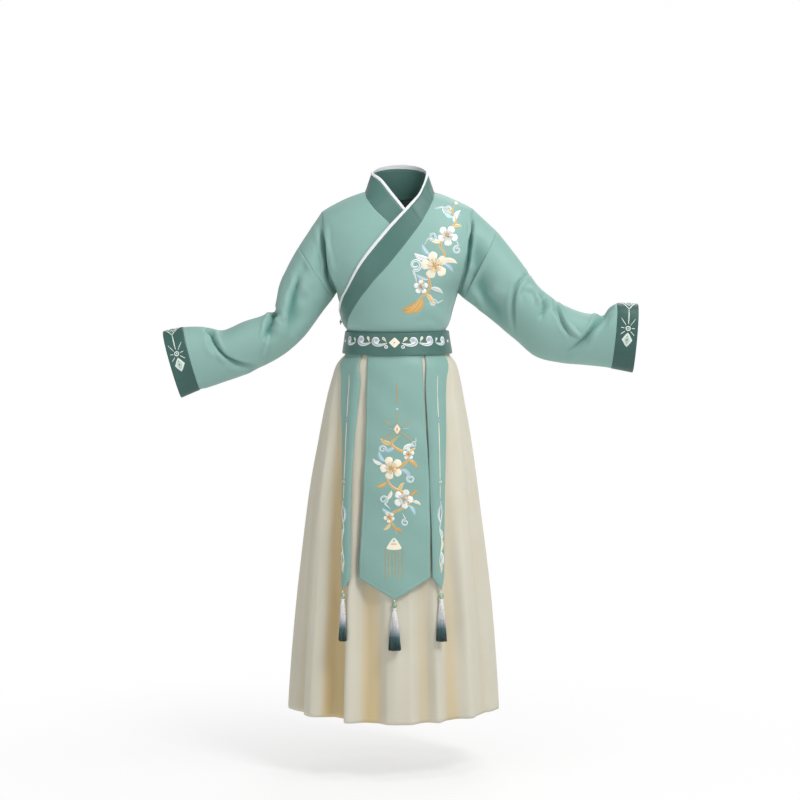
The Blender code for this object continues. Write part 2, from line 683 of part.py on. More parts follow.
def make_sleeve(name, table, folds, first, last, rows, finish, wall):
    """A tube of cloth along a sleeve, between two of its sections."""
    side = 1 if table[0].top_x > 0 else -1

    def place(across, up):
        turn = 2 * math.pi * across * side
        return sleeve_point(table, folds, first + (last - first) * up, turn % (2 * math.pi))

    return cloth(name, finish, wall, ((SLEEVE_COLUMNS, rows, place),), joined=True)


def make_collar():
    """The collar band and the white piping along its free edge, in one run round the neck."""
    last = len(COLLAR_SEAM) - 1

    def strip(shares):
        def place(across, up):
            line = COLLAR_LINES[shares[round(across * (len(shares) - 1))]]
            return line[round(last * (1 - up))]
        return len(shares) - 1, last, place

    cloth("collar", GREEN, BAND, (strip(BAND_COLUMN_SHARES),))
    cloth("collar_piping", WHITE, BAND, (strip(PIPING_SHARES),))


def ring_point(level, turn, extra=0.0):
    """A point of an oval ring: turn is 0 in front and grows towards the wearer's left."""
    depth = level.front_depth if math.cos(turn) > 0 else level.back_depth
    x = (level.half_width + extra) * math.sin(turn)
    return Vector((x, -(depth + extra) * math.cos(turn), level.level))


def skirt_point(z, turn, clear=0.0, envelope=False):
    """A point of the skirt at a level and a turn from the front, moved out by clear."""
    level = blend(SKIRT, place_at(SKIRT, z))
    drop = min(max((SKIRT[0].level - z) / (SKIRT[0].level - SKIRT[-1].level), 0.0), 1.0)
    drift = 1 - (1 - drop) ** PLEAT_DRIFT
    height = pleat_height(math.degrees(turn), drift)
    height *= smooth_step(drop, 0.0, PLEAT_START) * drop**PLEAT_GROWTH
    if envelope:
        height = 0.0
    point = ring_point(level, turn, height + clear)
    point.x += level.middle_x
    point.z -= HEM_DIP * drop**3 * max(math.cos(turn), 0.0) ** 3
    return point


def pleat_height(degrees, drift):
    """The height of the pleats at a turn, once they have drifted from waist towards hem."""
    places = [pleat.waist_deg + (pleat.hem_deg - pleat.waist_deg) * drift for pleat in PLEATS]
    heights = [pleat.height for pleat in PLEATS]
    places.append(places[0] + 360)
    heights.append(heights[0])
    while degrees < places[0]:
        degrees += 360
    while degrees >= places[-1]:
        degrees -= 360
    for index in range(len(PLEATS)):
        if places[index] <= degrees < places[index + 1]:
            share = (degrees - places[index]) / (places[index + 1] - places[index])
            ease = (1 - math.cos(math.pi * share)) / 2
            return heights[index] + (heights[index + 1] - heights[index]) * ease
    return 0.0


def pleat_turns(first, last, drift):
    """The turns of a half skirt's points: on every ridge and trough, and between them."""
    places = sorted(
        place
        for pleat in PLEATS
        for lap in (-360, 0, 360)
        for place in [pleat.waist_deg + (pleat.hem_deg - pleat.waist_deg) * drift + lap]
        if first < place < last
    )
    stops = [first, *places, last]
    turns = []
    for start, end in zip(stops, stops[1:]):
        turns += [start + (end - start) * step / POINTS_A_FLANK for step in range(POINTS_A_FLANK)]
    return turns + [last]


def make_skirt(name, first, last):
    """Half of the skirt between two side seams, which drift with the pleats."""
    top, hem = SKIRT[0].level, SKIRT[-1].level
    columns = len(pleat_turns(first.waist_deg, last.waist_deg, 0.0)) - 1
    kept = {}

    def place(across, up):
        z = SKIRT_LEVELS[round(len(SKIRT_LEVELS) - 1 - up * (len(SKIRT_LEVELS) - 1))]
        if z not in kept:
            drift = 1 - (1 - (top - z) / (top - hem)) ** PLEAT_DRIFT
            ends = [seam.waist_deg + (seam.hem_deg - seam.waist_deg) * drift for seam in (first, last)]
            kept[z] = pleat_turns(*ends, drift)
            if len(kept[z]) != columns + 1:
                raise ValueError("a pleat crosses the side seam")
        return skirt_point(z, math.radians(kept[z][round(across * columns)]))

    return cloth(name, CREAM, CLOTH, ((columns, len(SKIRT_LEVELS) - 1, place),))


def make_waistband():
    """The skirt's waistband, a closed ring that the belt covers."""
    def place(across, up):
        level = blend(WAISTBAND, 1 - up)
        return ring_point(level, 2 * math.pi * across)
    return cloth("waistband", CREAM, CLOTH, ((BAND_COLUMNS, 1, place),), joined=True)


def make_belt():
    """The belt: once round, and its end laps over its start at the middle of the back."""
    lap = math.radians(BELT_LAP_DEG)

    def place(across, up):
        level = blend(BELT, (len(BELT) - 1) * (1 - up))
        turn = -math.pi - lap / 2 + (2 * math.pi + lap) * across
        over = (BAND + SEAM_GAP * 2) * smooth_step(turn, math.pi - 2.2 * lap, math.pi - 0.6 * lap)
        return ring_point(level, turn, over)

    return cloth("belt", GREEN, BAND, ((BAND_COLUMNS, 2, place),))


def panel_level(up, end):
    """The level of a panel's row: the skirt's own levels, until the last two rows run to its end."""
    index = round((1 - up) * PANEL_ROWS)
    if index < PANEL_ROWS - 1:
        return PANEL_LEVELS[index]
    above = PANEL_LEVELS[PANEL_ROWS - 2]
    return above + (end - above) * (index - PANEL_ROWS + 2) / 2


def centre_panel_point(across, up):
    """A point of the middle panel, which bridges the skirt's pleats and ends in a point."""
    end = CENTRE_PANEL[-1].level - CENTRE_POINT_DROP * (1 - abs(2 * across - 1))
    z = panel_level(up, end)
    row = blend(CENTRE_PANEL, place_at(CENTRE_PANEL, z))
    x = row.right_x + (row.left_x - row.right_x) * across
    level = blend(SKIRT, place_at(SKIRT, z))
    point = skirt_point(z, math.asin((x - level.middle_x) / level.half_width), row.clear, envelope=True)
    point.x = x
    return point


def side_panel_point(table, across, up):
    """A point of a side panel, which lies on the skirt's pleat and ends in a point."""
    side = abs(2 * across - 1)
    end = table[-1].level - SIDE_POINT_DROP * (1 - side)
    z = panel_level(up, end)
    row = blend(table, place_at(table, z))
    turn = math.radians(row.from_deg + (row.to_deg - row.from_deg) * across)
    step = 0.01
    here = skirt_point(z, turn)
    along = skirt_point(z, turn + step) - skirt_point(z, turn - step)
    out = Vector((along.y, -along.x, 0)).normalized()
    return here + out * row.clear


def make_panels():
    """The middle panel and the two side panels, sewn in under the belt."""
    cloth("centre_panel", MINT, CLOTH, ((CENTRE_COLUMNS, PANEL_ROWS, centre_panel_point),))
    for name, table in (("side_panel_right", RIGHT_PANEL), ("side_panel_left", LEFT_PANEL)):
        cloth(name, MINT, CLOTH, (
            (SIDE_COLUMNS, PANEL_ROWS, lambda a, u, table=table: side_panel_point(table, a, u)),
        ))


def mesh_from(form, name):
    """A mesh from a bmesh, which is freed."""
    mesh = bpy.data.meshes.new(name)
    form.to_mesh(mesh)
    form.free()
    return mesh


def make_tassel(side, tip):
    """The cord, bead and tassel under a panel's point. The strands grow from the head's lower face."""
    cord = bmesh.new()
    bmesh.ops.create_cone(
        cord, cap_ends=True, segments=8, radius1=TASSEL_CORD_RADIUS, radius2=TASSEL_CORD_RADIUS,
        depth=TASSEL_CORD_LENGTH,
    )
    cord_middle = tip - Vector((0, 0, SEAM_GAP + TASSEL_CORD_LENGTH / 2))
    add_object(f"tassel_cord_{side}", mesh_from(cord, "tassel_cord"), WHITE).location = cord_middle

    bead = bmesh.new()
    bmesh.ops.create_uvsphere(bead, u_segments=14, v_segments=8, radius=BEAD_RADIUS)
    bead_drop = 2 * SEAM_GAP + TASSEL_CORD_LENGTH + BEAD_RADIUS
    bead_middle = tip - Vector((0, 0, bead_drop))
    add_object(f"bead_{side}", mesh_from(bead, "bead"), JADE).location = bead_middle

    head_top = tip.z - bead_drop - BEAD_RADIUS - SEAM_GAP
    form = bmesh.new()
    made = bmesh.ops.create_cone(
        form, cap_ends=True, segments=8, radius1=TASSEL_HEAD_RADIUS, radius2=TASSEL_HEAD_RADIUS * 0.6,
        depth=TASSEL_HEAD_LENGTH,
    )
    for vertex in made["verts"]:
        vertex.co.z -= TASSEL_HEAD_LENGTH / 2
    foot = [face for face in form.faces if face.normal.z < -0.9]
    bmesh.ops.delete(form, geom=foot, context="FACES_ONLY")
    grow_strands(form)
    tassel = add_object(f"tassel_{side}", mesh_from(form, "tassel"), THREAD)
    tassel.location = (tip.x, tip.y, head_top)


def grow_strands(form):
    """Fills the head's open foot with rings of small faces and draws a strand out of each.

    The strands fan out evenly, so that none crosses another, and lean forward off the skirt."""
    rim = sorted(
        (v for v in form.verts if v.co.z < -TASSEL_HEAD_LENGTH * 0.9),
        key=lambda v: math.atan2(v.co.y, v.co.x),
    )
    rings = [rim]
    for share in STRAND_RINGS:
        rings.append([form.verts.new((v.co.x * share, v.co.y * share, v.co.z)) for v in rim])
    faces = []
    for outer, inner in zip(rings, rings[1:]):
        for index in range(len(rim)):
            after = (index + 1) % len(rim)
            faces.append(form.faces.new((outer[index], inner[index], inner[after], outer[after])))
    faces.append(form.faces.new(list(reversed(rings[-1]))))
    for level in STRAND_LEVELS:
        faces = bmesh.ops.extrude_discrete_faces(form, faces=faces)["faces"]
        for face in faces:
            middle = face.calc_center_median()
            for vertex in face.verts:
                flat = middle * level.spread + (vertex.co - middle) * level.grow
                vertex.co = Vector((
                    flat.x,
                    flat.y * level.flatten - TASSEL_LEAN * level.share,
                    -TASSEL_HEAD_LENGTH - TASSEL_LENGTH * level.share,
                ))
    form.normal_update()


def make_closure():
    """The ball button and its cord loop at the right side of the waist."""
    ball = bmesh.new()
    bmesh.ops.create_uvsphere(ball, u_segments=12, v_segments=8, radius=BUTTON_RADIUS)
    add_object("side_button", mesh_from(ball, "side_button"), WHITE).location = BUTTON_PLACE
    bpy.ops.mesh.primitive_torus_add(
        major_segments=18, minor_segments=6, major_radius=LOOP_RADIUS, minor_radius=LOOP_THICKNESS,
        location=BUTTON_PLACE, rotation=(0, math.pi / 2, 0),
    )
    loop = bpy.context.active_object
    loop.name = "side_loop"
    loop.data.materials.append(material_of(GREEN))
    for home in list(loop.users_collection):
        home.objects.unlink(loop)
    garment.objects.link(loop)


for old in list(bpy.data.objects):
    bpy.data.objects.remove(old)
garment = bpy.data.collections.new("hanfu")
bpy.context.scene.collection.children.link(garment)

make_back()
make_front("front_left", 1, OUTER_SEAM)
make_front("front_right", -1, UNDER_SEAM)
seam_share = CURVED_SEAM_GAP / STATION_LENGTH
for wearer_side, sleeve, creases in (
    ("right", RIGHT_SLEEVE, RIGHT_FOLDS),
    ("left", LEFT_SLEEVE, LEFT_FOLDS),
):
    make_sleeve(
        f"sleeve_{wearer_side}", sleeve, creases, seam_share, SLEEVE_END, SLEEVE_ROWS, MINT, CLOTH
    )
    make_sleeve(
        f"cuff_{wearer_side}", sleeve, creases, SLEEVE_END + seam_share, CUFF_END, CUFF_ROWS, GREEN, BAND
    )
make_collar()
make_skirt("skirt_front", RIGHT_SEAM, LEFT_SEAM)
back_ends = [
    SkirtSeam(*(degrees + shift for degrees in seam))
    for seam, shift in ((LEFT_SEAM, SEAM_TRIM_DEG), (RIGHT_SEAM, 360 - SEAM_TRIM_DEG))
]
make_skirt("skirt_back", *back_ends)
make_waistband()
make_belt()
make_panels()
make_tassel("centre", centre_panel_point(0.5, 0.0))
make_tassel("right", side_panel_point(RIGHT_PANEL, 0.5, 0.0))
make_tassel("left", side_panel_point(LEFT_PANEL, 0.5, 0.0))
make_closure()
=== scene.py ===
"""The looks of a child's hanfu: its cloth, embroidery, beads and tassels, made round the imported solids.

Units are metres, +Z is up, the wearer faces -Y and +X is the wearer's left, as in the solids. The
cloth pieces repeat the solids' own tables of points, so each lies where its solid is."""

import math
from collections import namedtuple

import bpy
import numpy as np
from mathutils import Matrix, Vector
from mathutils.bvhtree import BVHTree


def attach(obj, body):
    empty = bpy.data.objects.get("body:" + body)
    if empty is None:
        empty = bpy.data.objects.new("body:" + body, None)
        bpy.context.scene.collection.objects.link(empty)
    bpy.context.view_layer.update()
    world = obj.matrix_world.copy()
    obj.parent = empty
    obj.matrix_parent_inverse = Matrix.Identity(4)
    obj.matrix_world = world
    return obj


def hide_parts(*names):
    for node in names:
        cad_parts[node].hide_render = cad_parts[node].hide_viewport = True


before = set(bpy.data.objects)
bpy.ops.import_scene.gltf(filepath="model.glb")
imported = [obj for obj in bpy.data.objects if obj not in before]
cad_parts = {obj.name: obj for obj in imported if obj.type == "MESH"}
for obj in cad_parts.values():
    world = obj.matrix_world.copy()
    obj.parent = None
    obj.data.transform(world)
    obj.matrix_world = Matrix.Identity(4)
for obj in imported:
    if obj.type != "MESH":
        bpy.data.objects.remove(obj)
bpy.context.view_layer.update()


# The studio: a pale matt floor that fades into an even white round the garment, a broad lamp high in
# front on the wearer's left, a weaker one on the right, and the camera level with the chest.
FLOOR_LEVEL = -1.035
FLOOR_SIZE = 60.0
FLOOR_WHITE = (0.93, 0.93, 0.93)
FADE_START, FADE_END = 0.25, 1.5
HORIZON_GLOW = 1.0
OVERHEAD_GLOW = 0.30
CAMERA_PLACE = (0.005, -4.5, -0.060)
CAMERA_AIM = (0.005, 0.0, -0.369)
CAMERA_LENS = 112.5
Lamp = namedtuple("Lamp", "name place size power")
LAMPS = (
    Lamp("key_lamp", (1.7, -2.2, 2.3), 1.0, 80.0),
    Lamp("fill_lamp", (-1.9, -3.0, 0.6), 1.8, 9.0),
    Lamp("back_lamp", (0.6, 2.6, 1.7), 1.6, 26.0),
    Lamp("top_lamp", (0.8, -0.6, 2.3), 1.0, 25.0),
)
LAMP_AIM = (0.0, 0.0, -0.35)


class Wire:
    """A socket among a material's nodes. Arithmetic on wires adds the Math nodes that work it out."""

    def __init__(self, tree, socket=None):
        self.tree = tree
        self.socket = socket

    def node(self, kind, settings=None, inputs=None, out=0):
        """Adds a node of a type: first its settings, then the values or wires of its inputs."""
        made = self.tree.nodes.new(kind)
        for name, setting in (settings or {}).items():
            if name == "stops":
                ramp = made.color_ramp.elements
                while len(ramp) < len(setting):
                    ramp.new(1.0)
                for stop, (place, colour) in zip(ramp, setting):
                    stop.position, stop.color = place, (*colour, 1.0)
            else:
                setattr(made, name, setting)
        for name, value in (inputs or {}).items():
            self.plug(made.inputs[name], value)
        return Wire(self.tree, made.outputs[out])

    def plug(self, socket, value):
        """Sets a socket to a number or colour, or joins a wire to it."""
        if isinstance(value, Wire):
            self.tree.links.new(value.socket, socket)
        elif socket.type == "RGBA":
            socket.default_value = (*value[:3], 1.0)
        else:
            socket.default_value = value

    def other(self, name):
        """Another output of the same node."""
        return Wire(self.tree, self.socket.node.outputs[name])

    def maths(self, operation, *values):
        return self.node("ShaderNodeMath", {"operation": operation}, dict(enumerate(values)))

    def __add__(self, value):
        return self.maths("ADD", self, value)

    def __sub__(self, value):
        return self.maths("SUBTRACT", self, value)

    def __rsub__(self, value):
        return self.maths("SUBTRACT", value, self)

    def __mul__(self, value):
        return self.maths("MULTIPLY", self, value)

    def __truediv__(self, value):
        return self.maths("DIVIDE", self, value)

    def __abs__(self):
        return self.maths("ABSOLUTE", self)

    __radd__ = __add__
    __rmul__ = __mul__

    def wave(self, length):
        """A wave between -1 and 1 that repeats after this length."""
        return (self * (2 * math.pi / length)).maths("SINE")

    def step(self, low, high):
        """0 below low and 1 above high, with a soft rise between them."""
        return self.node(
            "ShaderNodeMapRange",
            {"interpolation_type": "SMOOTHSTEP"},
            {"Value": self, "From Min": low, "From Max": high},
        )

    def blend(self, first, second, way="MIX"):
        """The mix of two colours by this wire."""
        kinds = {"data_type": "RGBA", "blend_type": way}
        return self.node("ShaderNodeMix", kinds, {0: self, 6: first, 7: second}, out=2)


def floor_finish():
    """Matt white near the garment, fading into a glow as bright as the world further out."""
    material = bpy.data.materials.new("floor_white")
    material.use_nodes = True
    nodes = material.node_tree.nodes
    shader = nodes["Principled BSDF"]
    shader.inputs["Roughness"].default_value = 0.9
    wire = Wire(material.node_tree)
    place = wire.node("ShaderNodeNewGeometry", out="Position")
    away = wire.node("ShaderNodeVectorMath", {"operation": "LENGTH"}, {0: place}, out="Value")
    grain = wire.node("ShaderNodeTexNoise", None, {"Vector": place, "Scale": 40.0, "Detail": 3.0})
    speckled = grain.step(0.3, 0.7).blend(tuple(0.985 * c for c in FLOOR_WHITE), FLOOR_WHITE)
    wire.plug(shader.inputs["Base Color"], speckled)
    glow = wire.node("ShaderNodeEmission", None, {"Strength": HORIZON_GLOW})
    mixed = wire.node(
        "ShaderNodeMixShader",
        None,
        {0: away.step(FADE_START, FADE_END), 1: Wire(wire.tree, shader.outputs[0]), 2: glow},
    )
    wire.plug(nodes["Material Output"].inputs["Surface"], mixed)
    return material


def make_floor():
    mesh = bpy.data.meshes.new("studio_floor")
    half = FLOOR_SIZE / 2
    corners = [(-half, -half), (half, -half), (half, half), (-half, half)]
    mesh.from_pydata([(x, y, FLOOR_LEVEL) for x, y in corners], [], [(0, 1, 2, 3)])
    mesh.materials.append(floor_finish())
    floor = bpy.data.objects.new("studio_floor", mesh)
    bpy.context.scene.collection.objects.link(floor)


def make_world():
    """White at the horizon and dimmer overhead, so the garment is lit softly from all round."""
    world = bpy.data.worlds.new("studio_world")
    bpy.context.scene.world = world
    world.use_nodes = True
    wire = Wire(world.node_tree)
    facing = wire.node("ShaderNodeTexCoord", out="Generated")
    height = wire.node("ShaderNodeSeparateXYZ", None, {0: facing}, out="Z")
    sky = height.step(0.08, 0.30).blend((HORIZON_GLOW,) * 3, (OVERHEAD_GLOW,) * 3)
    wire.plug(world.node_tree.nodes["Background"].inputs["Color"], sky)


def aimed(obj, place, target):
    """Puts a lamp or the camera at a place, turned towards a target."""
    obj.location = place
    obj.rotation_euler = (Vector(target) - Vector(place)).to_track_quat("-Z", "Y").to_euler()
    bpy.context.scene.collection.objects.link(obj)


def make_lamps():
    for lamp in LAMPS:
        light = bpy.data.lights.new(lamp.name, "AREA")
        light.size = lamp.size
        light.energy = lamp.power
        aimed(bpy.data.objects.new(lamp.name, light), lamp.place, LAMP_AIM)


def make_camera():
    camera = bpy.data.cameras.new("camera")
    camera.lens = CAMERA_LENS
    camera.sensor_width = 36.0
    view = bpy.data.objects.new("camera", camera)
    aimed(view, CAMERA_PLACE, CAMERA_AIM)
    bpy.context.scene.camera = view


bpy.context.scene.view_settings.view_transform = "Standard"
make_floor()
make_world()
make_lamps()
make_camera()


# The top's body: two crossed fronts and a back of matt mint satin, cut with the upper part of each
# sleeve. The outer front covers the under front from the left shoulder to the right side of the waist.
CLOTH_WALL = 0.0014
LAYER = 0.0036
MINT = (0.252, 0.424, 0.382)
MINT_SHADE = (0.204, 0.362, 0.322)
# Painted shade: a deeper, greener teal laid into the satin's deepest creases.
MINT_PAINTED_SHADE = (0.100, 0.275, 0.240)
BodyRow = namedtuple("BodyRow", "side_x side_y side_z front_y front_z back_y back_z")
BODY = (
    BodyRow(0.0810, 0.000, -0.2630, -0.0665, -0.2630, 0.0640, -0.2630),
    BodyRow(0.0835, 0.000, -0.2440, -0.0695, -0.2450, 0.0660, -0.2440),
    BodyRow(0.0935, 0.000, -0.2270, -0.0815, -0.2290, 0.0765, -0.2270),
    BodyRow(0.0990, 0.000, -0.2050, -0.0875, -0.2050, 0.0830, -0.2050),
    BodyRow(0.1080, 0.000, -0.1755, -0.0920, -0.1750, 0.0880, -0.1750),
    BodyRow(0.1170, 0.037, -0.1470, -0.0925, -0.1440, 0.0910, -0.1440),
    BodyRow(0.1235, 0.051, -0.1120, -0.0890, -0.1080, 0.0910, -0.1080),
    BodyRow(0.1275, 0.049, -0.0770, -0.0800, -0.0690, 0.0850, -0.0690),
    BodyRow(0.1305, 0.037, -0.0500, -0.0660, -0.0350, 0.0700, -0.0350),
    BodyRow(0.1330, 0.021, -0.0350, -0.0440, -0.0050, 0.0460, -0.0050),
    BodyRow(0.1345, 0.000, -0.0280, 0.0000, 0.0160, 0.0000, 0.0160),
)
ARMPIT_ROW = 4
TOP_ROW = len(BODY) - 1
LEFT_SHOULDER_RISE = 0.0055
# The shoulder ridge is rounded over this length, where front and back slope away from it.
RIDGE_SOFTNESS = 0.009
RIDGE_SLOPE = 0.42
# The collar's seam and free edge in the front view: the outer half, then the one under it.
CollarRow = namedtuple("CollarRow", "seam_x seam_z edge_x edge_z")
OUTER_COLLAR = (
    CollarRow(-0.0830, -0.2600, -0.1080, -0.2560),
    CollarRow(-0.0860, -0.2400, -0.1080, -0.2330),
    CollarRow(-0.0833, -0.2200, -0.1010, -0.2050),
    CollarRow(-0.0731, -0.1993, -0.0945, -0.1780),
    CollarRow(-0.0587, -0.1766, -0.0800, -0.1460),
    CollarRow(-0.0400, -0.1519, -0.0640, -0.1175),
    CollarRow(-0.0173, -0.1271, -0.0440, -0.0910),
    CollarRow(0.0115, -0.0918, -0.0160, -0.0580),
    CollarRow(0.0322, -0.0650, 0.0080, -0.0330),
    CollarRow(0.0446, -0.0475, 0.0240, -0.0160),
)
UNDER_COLLAR = (
    CollarRow(-0.0126, -0.0520, 0.0190, -0.0310),
    CollarRow(0.0010, -0.0700, 0.0340, -0.0500),
    CollarRow(0.0120, -0.0980, 0.0470, -0.0860),
    CollarRow(0.0180, -0.1400, 0.0560, -0.1340),
    CollarRow(0.0200, -0.2000, 0.0590, -0.1960),
    CollarRow(0.0200, -0.2600, 0.0570, -0.2600),
)
NeckRow = namedtuple("NeckRow", "seam_x seam_z edge_x edge_y edge_z")
LEFT_NECK = (
    NeckRow(0.0571, -0.0257, 0.0375, -0.0410, 0.0010),
    NeckRow(0.0630, -0.0110, 0.0465, -0.0230, 0.0200),
)
RIGHT_NECK = (
    NeckRow(-0.0535, -0.0070, -0.0270, -0.0190, 0.0270),
    NeckRow(-0.0440, -0.0210, -0.0110, -0.0365, 0.0065),
    NeckRow(-0.0300, -0.0360, 0.0040, -0.0490, -0.0120),
)
NECK_MIDDLE = 0.0045
NECK_HALF_WIDTH = 0.0610
NECK_BACK = 0.0480
# How far the body's cloth runs in under the collar band.
UNDERLAP = 0.0040
# Sleeves: top and bottom of each section in the front view, its half depth and how far forward.
SleeveRow = namedtuple("SleeveRow", "top_x top_z low_x low_z half_depth forward")
RIGHT_SLEEVE = (
    SleeveRow(-0.1764, -0.0945, -0.1165, -0.1850, 0.0500, 0.002),
    SleeveRow(-0.1955, -0.1296, -0.1386, -0.2130, 0.0480, 0.006),
    SleeveRow(-0.2110, -0.1638, -0.1674, -0.2520, 0.0460, 0.012),
    SleeveRow(-0.2195, -0.1995, -0.2016, -0.2830, 0.0450, 0.018),
    SleeveRow(-0.2376, -0.2155, -0.2394, -0.3045, 0.0435, 0.024),
    SleeveRow(-0.2736, -0.2275, -0.2736, -0.3205, 0.0415, 0.030),
    SleeveRow(-0.3114, -0.2430, -0.3114, -0.3335, 0.0400, 0.036),
    SleeveRow(-0.3402, -0.2370, -0.3400, -0.3430, 0.0385, 0.042),
    SleeveRow(-0.3800, -0.2370, -0.3520, -0.3455, 0.0370, 0.048),
    SleeveRow(-0.4165, -0.2450, -0.3855, -0.3595, 0.0350, 0.054),
)
LEFT_SLEEVE = (
    SleeveRow(0.1785, -0.0670, 0.1195, -0.1840, 0.0500, 0.002),
    SleeveRow(0.2015, -0.0962, 0.1490, -0.2058, 0.0480, 0.006),
    SleeveRow(0.2265, -0.1290, 0.1792, -0.2310, 0.0460, 0.012),
    SleeveRow(0.2512, -0.1635, 0.2130, -0.2585, 0.0450, 0.018),
    SleeveRow(0.2738, -0.1835, 0.2490, -0.2880, 0.0440, 0.024),
    SleeveRow(0.3030, -0.2010, 0.2915, -0.2985, 0.0425, 0.032),
    SleeveRow(0.3370, -0.2125, 0.3325, -0.3020, 0.0410, 0.040),
    SleeveRow(0.3640, -0.2105, 0.3620, -0.3045, 0.0395, 0.048),
    SleeveRow(0.3900, -0.1950, 0.3805, -0.3068, 0.0380, 0.055),
    SleeveRow(0.4272, -0.1955, 0.4188, -0.3140, 0.0360, 0.062),
)
SLEEVE_FULLNESS = 0.22
# Creases: a line in the front view, half width, height (below zero for a trough) and how far the
# crease leans to one side, which makes that side of it softer.
Crease = namedtuple("Crease", "line half_width height lean")
ARMHOLE_CREASES = (
    Crease(((-0.137, -0.046), (-0.132, -0.070), (-0.127, -0.100), (-0.123, -0.132), (-0.117, -0.155),
            (-0.106, -0.184)), 0.0042, -0.0115, -0.35),
    Crease(((0.134, -0.032), (0.134, -0.055), (0.131, -0.080), (0.128, -0.105), (0.123, -0.135),
            (0.110, -0.184)), 0.0042, -0.0120, -0.35),
)
FRONT_CREASES = ARMHOLE_CREASES + (
    Crease(((-0.110, -0.060), (-0.103, -0.110), (-0.095, -0.160)), 0.015, -0.0018, 0.2),
    Crease(((-0.127, -0.045), (-0.123, -0.080), (-0.117, -0.120), (-0.110, -0.160)), 0.0036, 0.0026, 0.0),
    Crease(((0.127, -0.030), (0.127, -0.055), (0.122, -0.095), (0.114, -0.150)), 0.0034, 0.0036, 0.0),
    Crease(((0.139, -0.070), (0.140, -0.115), (0.139, -0.145), (0.128, -0.180)), 0.0110, -0.0075, 0.3),
    Crease(((-0.139, -0.080), (-0.139, -0.120), (-0.134, -0.150)), 0.0080, -0.0030, 0.2),
    Crease(((0.106, -0.120), (0.098, -0.170), (0.088, -0.235)), 0.013, -0.0024, 0.0),
    Crease(((0.090, -0.225), (0.070, -0.205), (0.040, -0.198)), 0.008, 0.0010, 0.3),
    Crease(((0.085, -0.236), (0.055, -0.222), (0.015, -0.228)), 0.007, -0.0012, 0.0),
)
BACK_CREASES = ARMHOLE_CREASES + (
    Crease(((-0.100, -0.045), (-0.082, -0.110), (-0.066, -0.190)), 0.010, -0.0048, 0.3),
    Crease(((-0.078, -0.060), (-0.060, -0.130), (-0.050, -0.215)), 0.008, 0.0034, 0.0),
    Crease(((0.102, -0.055), (0.086, -0.120), (0.064, -0.195)), 0.010, -0.0048, -0.3),
    Crease(((0.076, -0.075), (0.060, -0.140), (0.046, -0.225)), 0.008, 0.0034, 0.0),
    Crease(((-0.094, -0.222), (-0.055, -0.205), (-0.010, -0.218), (0.040, -0.206)), 0.006, -0.0030, 0.2),
    Crease(((-0.070, -0.234), (-0.020, -0.228), (0.030, -0.222), (0.080, -0.232)), 0.005, 0.0022, 0.0),
    Crease(((-0.014, -0.050), (0.004, -0.120), (-0.006, -0.195)), 0.012, -0.0026, 0.0),
)
CHEST_STEPS, SHOULDER_STEPS = 56, 84
FRONT_STEPS, HEAD_STEPS = 100, 24
BACK_SIDE_STEPS, BACK_NECK_STEPS = 46, 64
WELD = 0.00001


def along(rows, place):
    """Rows of numbers at places between them, on smooth curves through them."""
    rows = np.asarray(rows, float)
    last = len(rows) - 1
    place = np.clip(np.asarray(place, float), 0.0, last)
    index = np.minimum(place.astype(int), last - 1)
    step = (place - index)[..., None]
    before, start = rows[np.maximum(index - 1, 0)], rows[index]
    end, after = rows[index + 1], rows[np.minimum(index + 2, last)]
    slope_in, slope_out = (end - before) / 2, (after - start) / 2
    rise = 3 * (end - start) - 2 * slope_in - slope_out
    return start + slope_in * step + rise * step**2 + (2 * (start - end) + slope_in + slope_out) * step**3


def through(table, place):
    """A table's row at places between its rows, each of its fields an array."""
    return type(table[0])(*np.moveaxis(along(table, place), -1, 0))


def soft(value, start, end):
    """0 before start and 1 past end, with a soft rise between them."""
    share = np.clip((value - start) / (end - start), 0.0, 1.0)
    return share * share * (3 - 2 * share)


def unit(vectors):
    return vectors / np.maximum(np.linalg.norm(vectors, axis=-1, keepdims=True), 1e-12)


def body_point(row, turn, face):
    """Points of the body: turn is 0 at the wearer's left side and pi at the right, face -1 in front."""
    row, turn, face = np.broadcast_arrays(np.asarray(row, float), turn, face)
    past = turn > math.pi
    turn = np.where(past, 2 * math.pi - turn, turn)
    face = np.where(past, -face, face)
    level = through(BODY, row)
    middle_y = np.where(face < 0, level.front_y, level.back_y)
    middle_z = np.where(face < 0, level.front_z, level.back_z)
    bow = np.sin(turn)
    side_y = np.maximum(level.side_y, 0.0) * face
    y = np.maximum((side_y + (middle_y - side_y) * bow) * face, 0.0) * face
    x = level.side_x * np.cos(turn)
    outwards = np.maximum(x, 0.0) / BODY[-1].side_x
    rise = LEFT_SHOULDER_RISE * outwards**2 * soft(row, ARMPIT_ROW, TOP_ROW)
    round_off = RIDGE_SLOPE * (np.hypot(y, RIDGE_SOFTNESS) - abs(y)) * soft(row, TOP_ROW - 2.5, TOP_ROW)
    z = level.side_z + (middle_z - level.side_z) * bow * bow + rise - round_off
    return np.stack((x, y, z), -1)


def turn_at(row, x):
    """The turn round the body at which a row reaches this x. An x past the side goes on round it."""
    share = x / through(BODY, row).side_x
    return np.arccos(np.clip(share, -1.0, 1.0)) + np.maximum(-1.0 - share, 0.0)


def body_row_at(x, face, coordinate, value):
    """The row where the body at this x reaches a value of y or z."""
    low, high = np.zeros_like(x), np.full_like(x, TOP_ROW)
    for _ in range(36):
        middle = (low + high) / 2
        below = body_point(middle, turn_at(middle, x), face)[..., coordinate]
        short = below < value if coordinate == 2 else below > value
        low, high = np.where(short, middle, low), np.where(short, high, middle)
    return (low + high) / 2


def layer_lift(x, z):
    """How far the outer front stands off the body, because the under front lies between them."""
    return LAYER * soft(-x, -0.098, -0.066) * soft(-z, -0.007, 0.018)


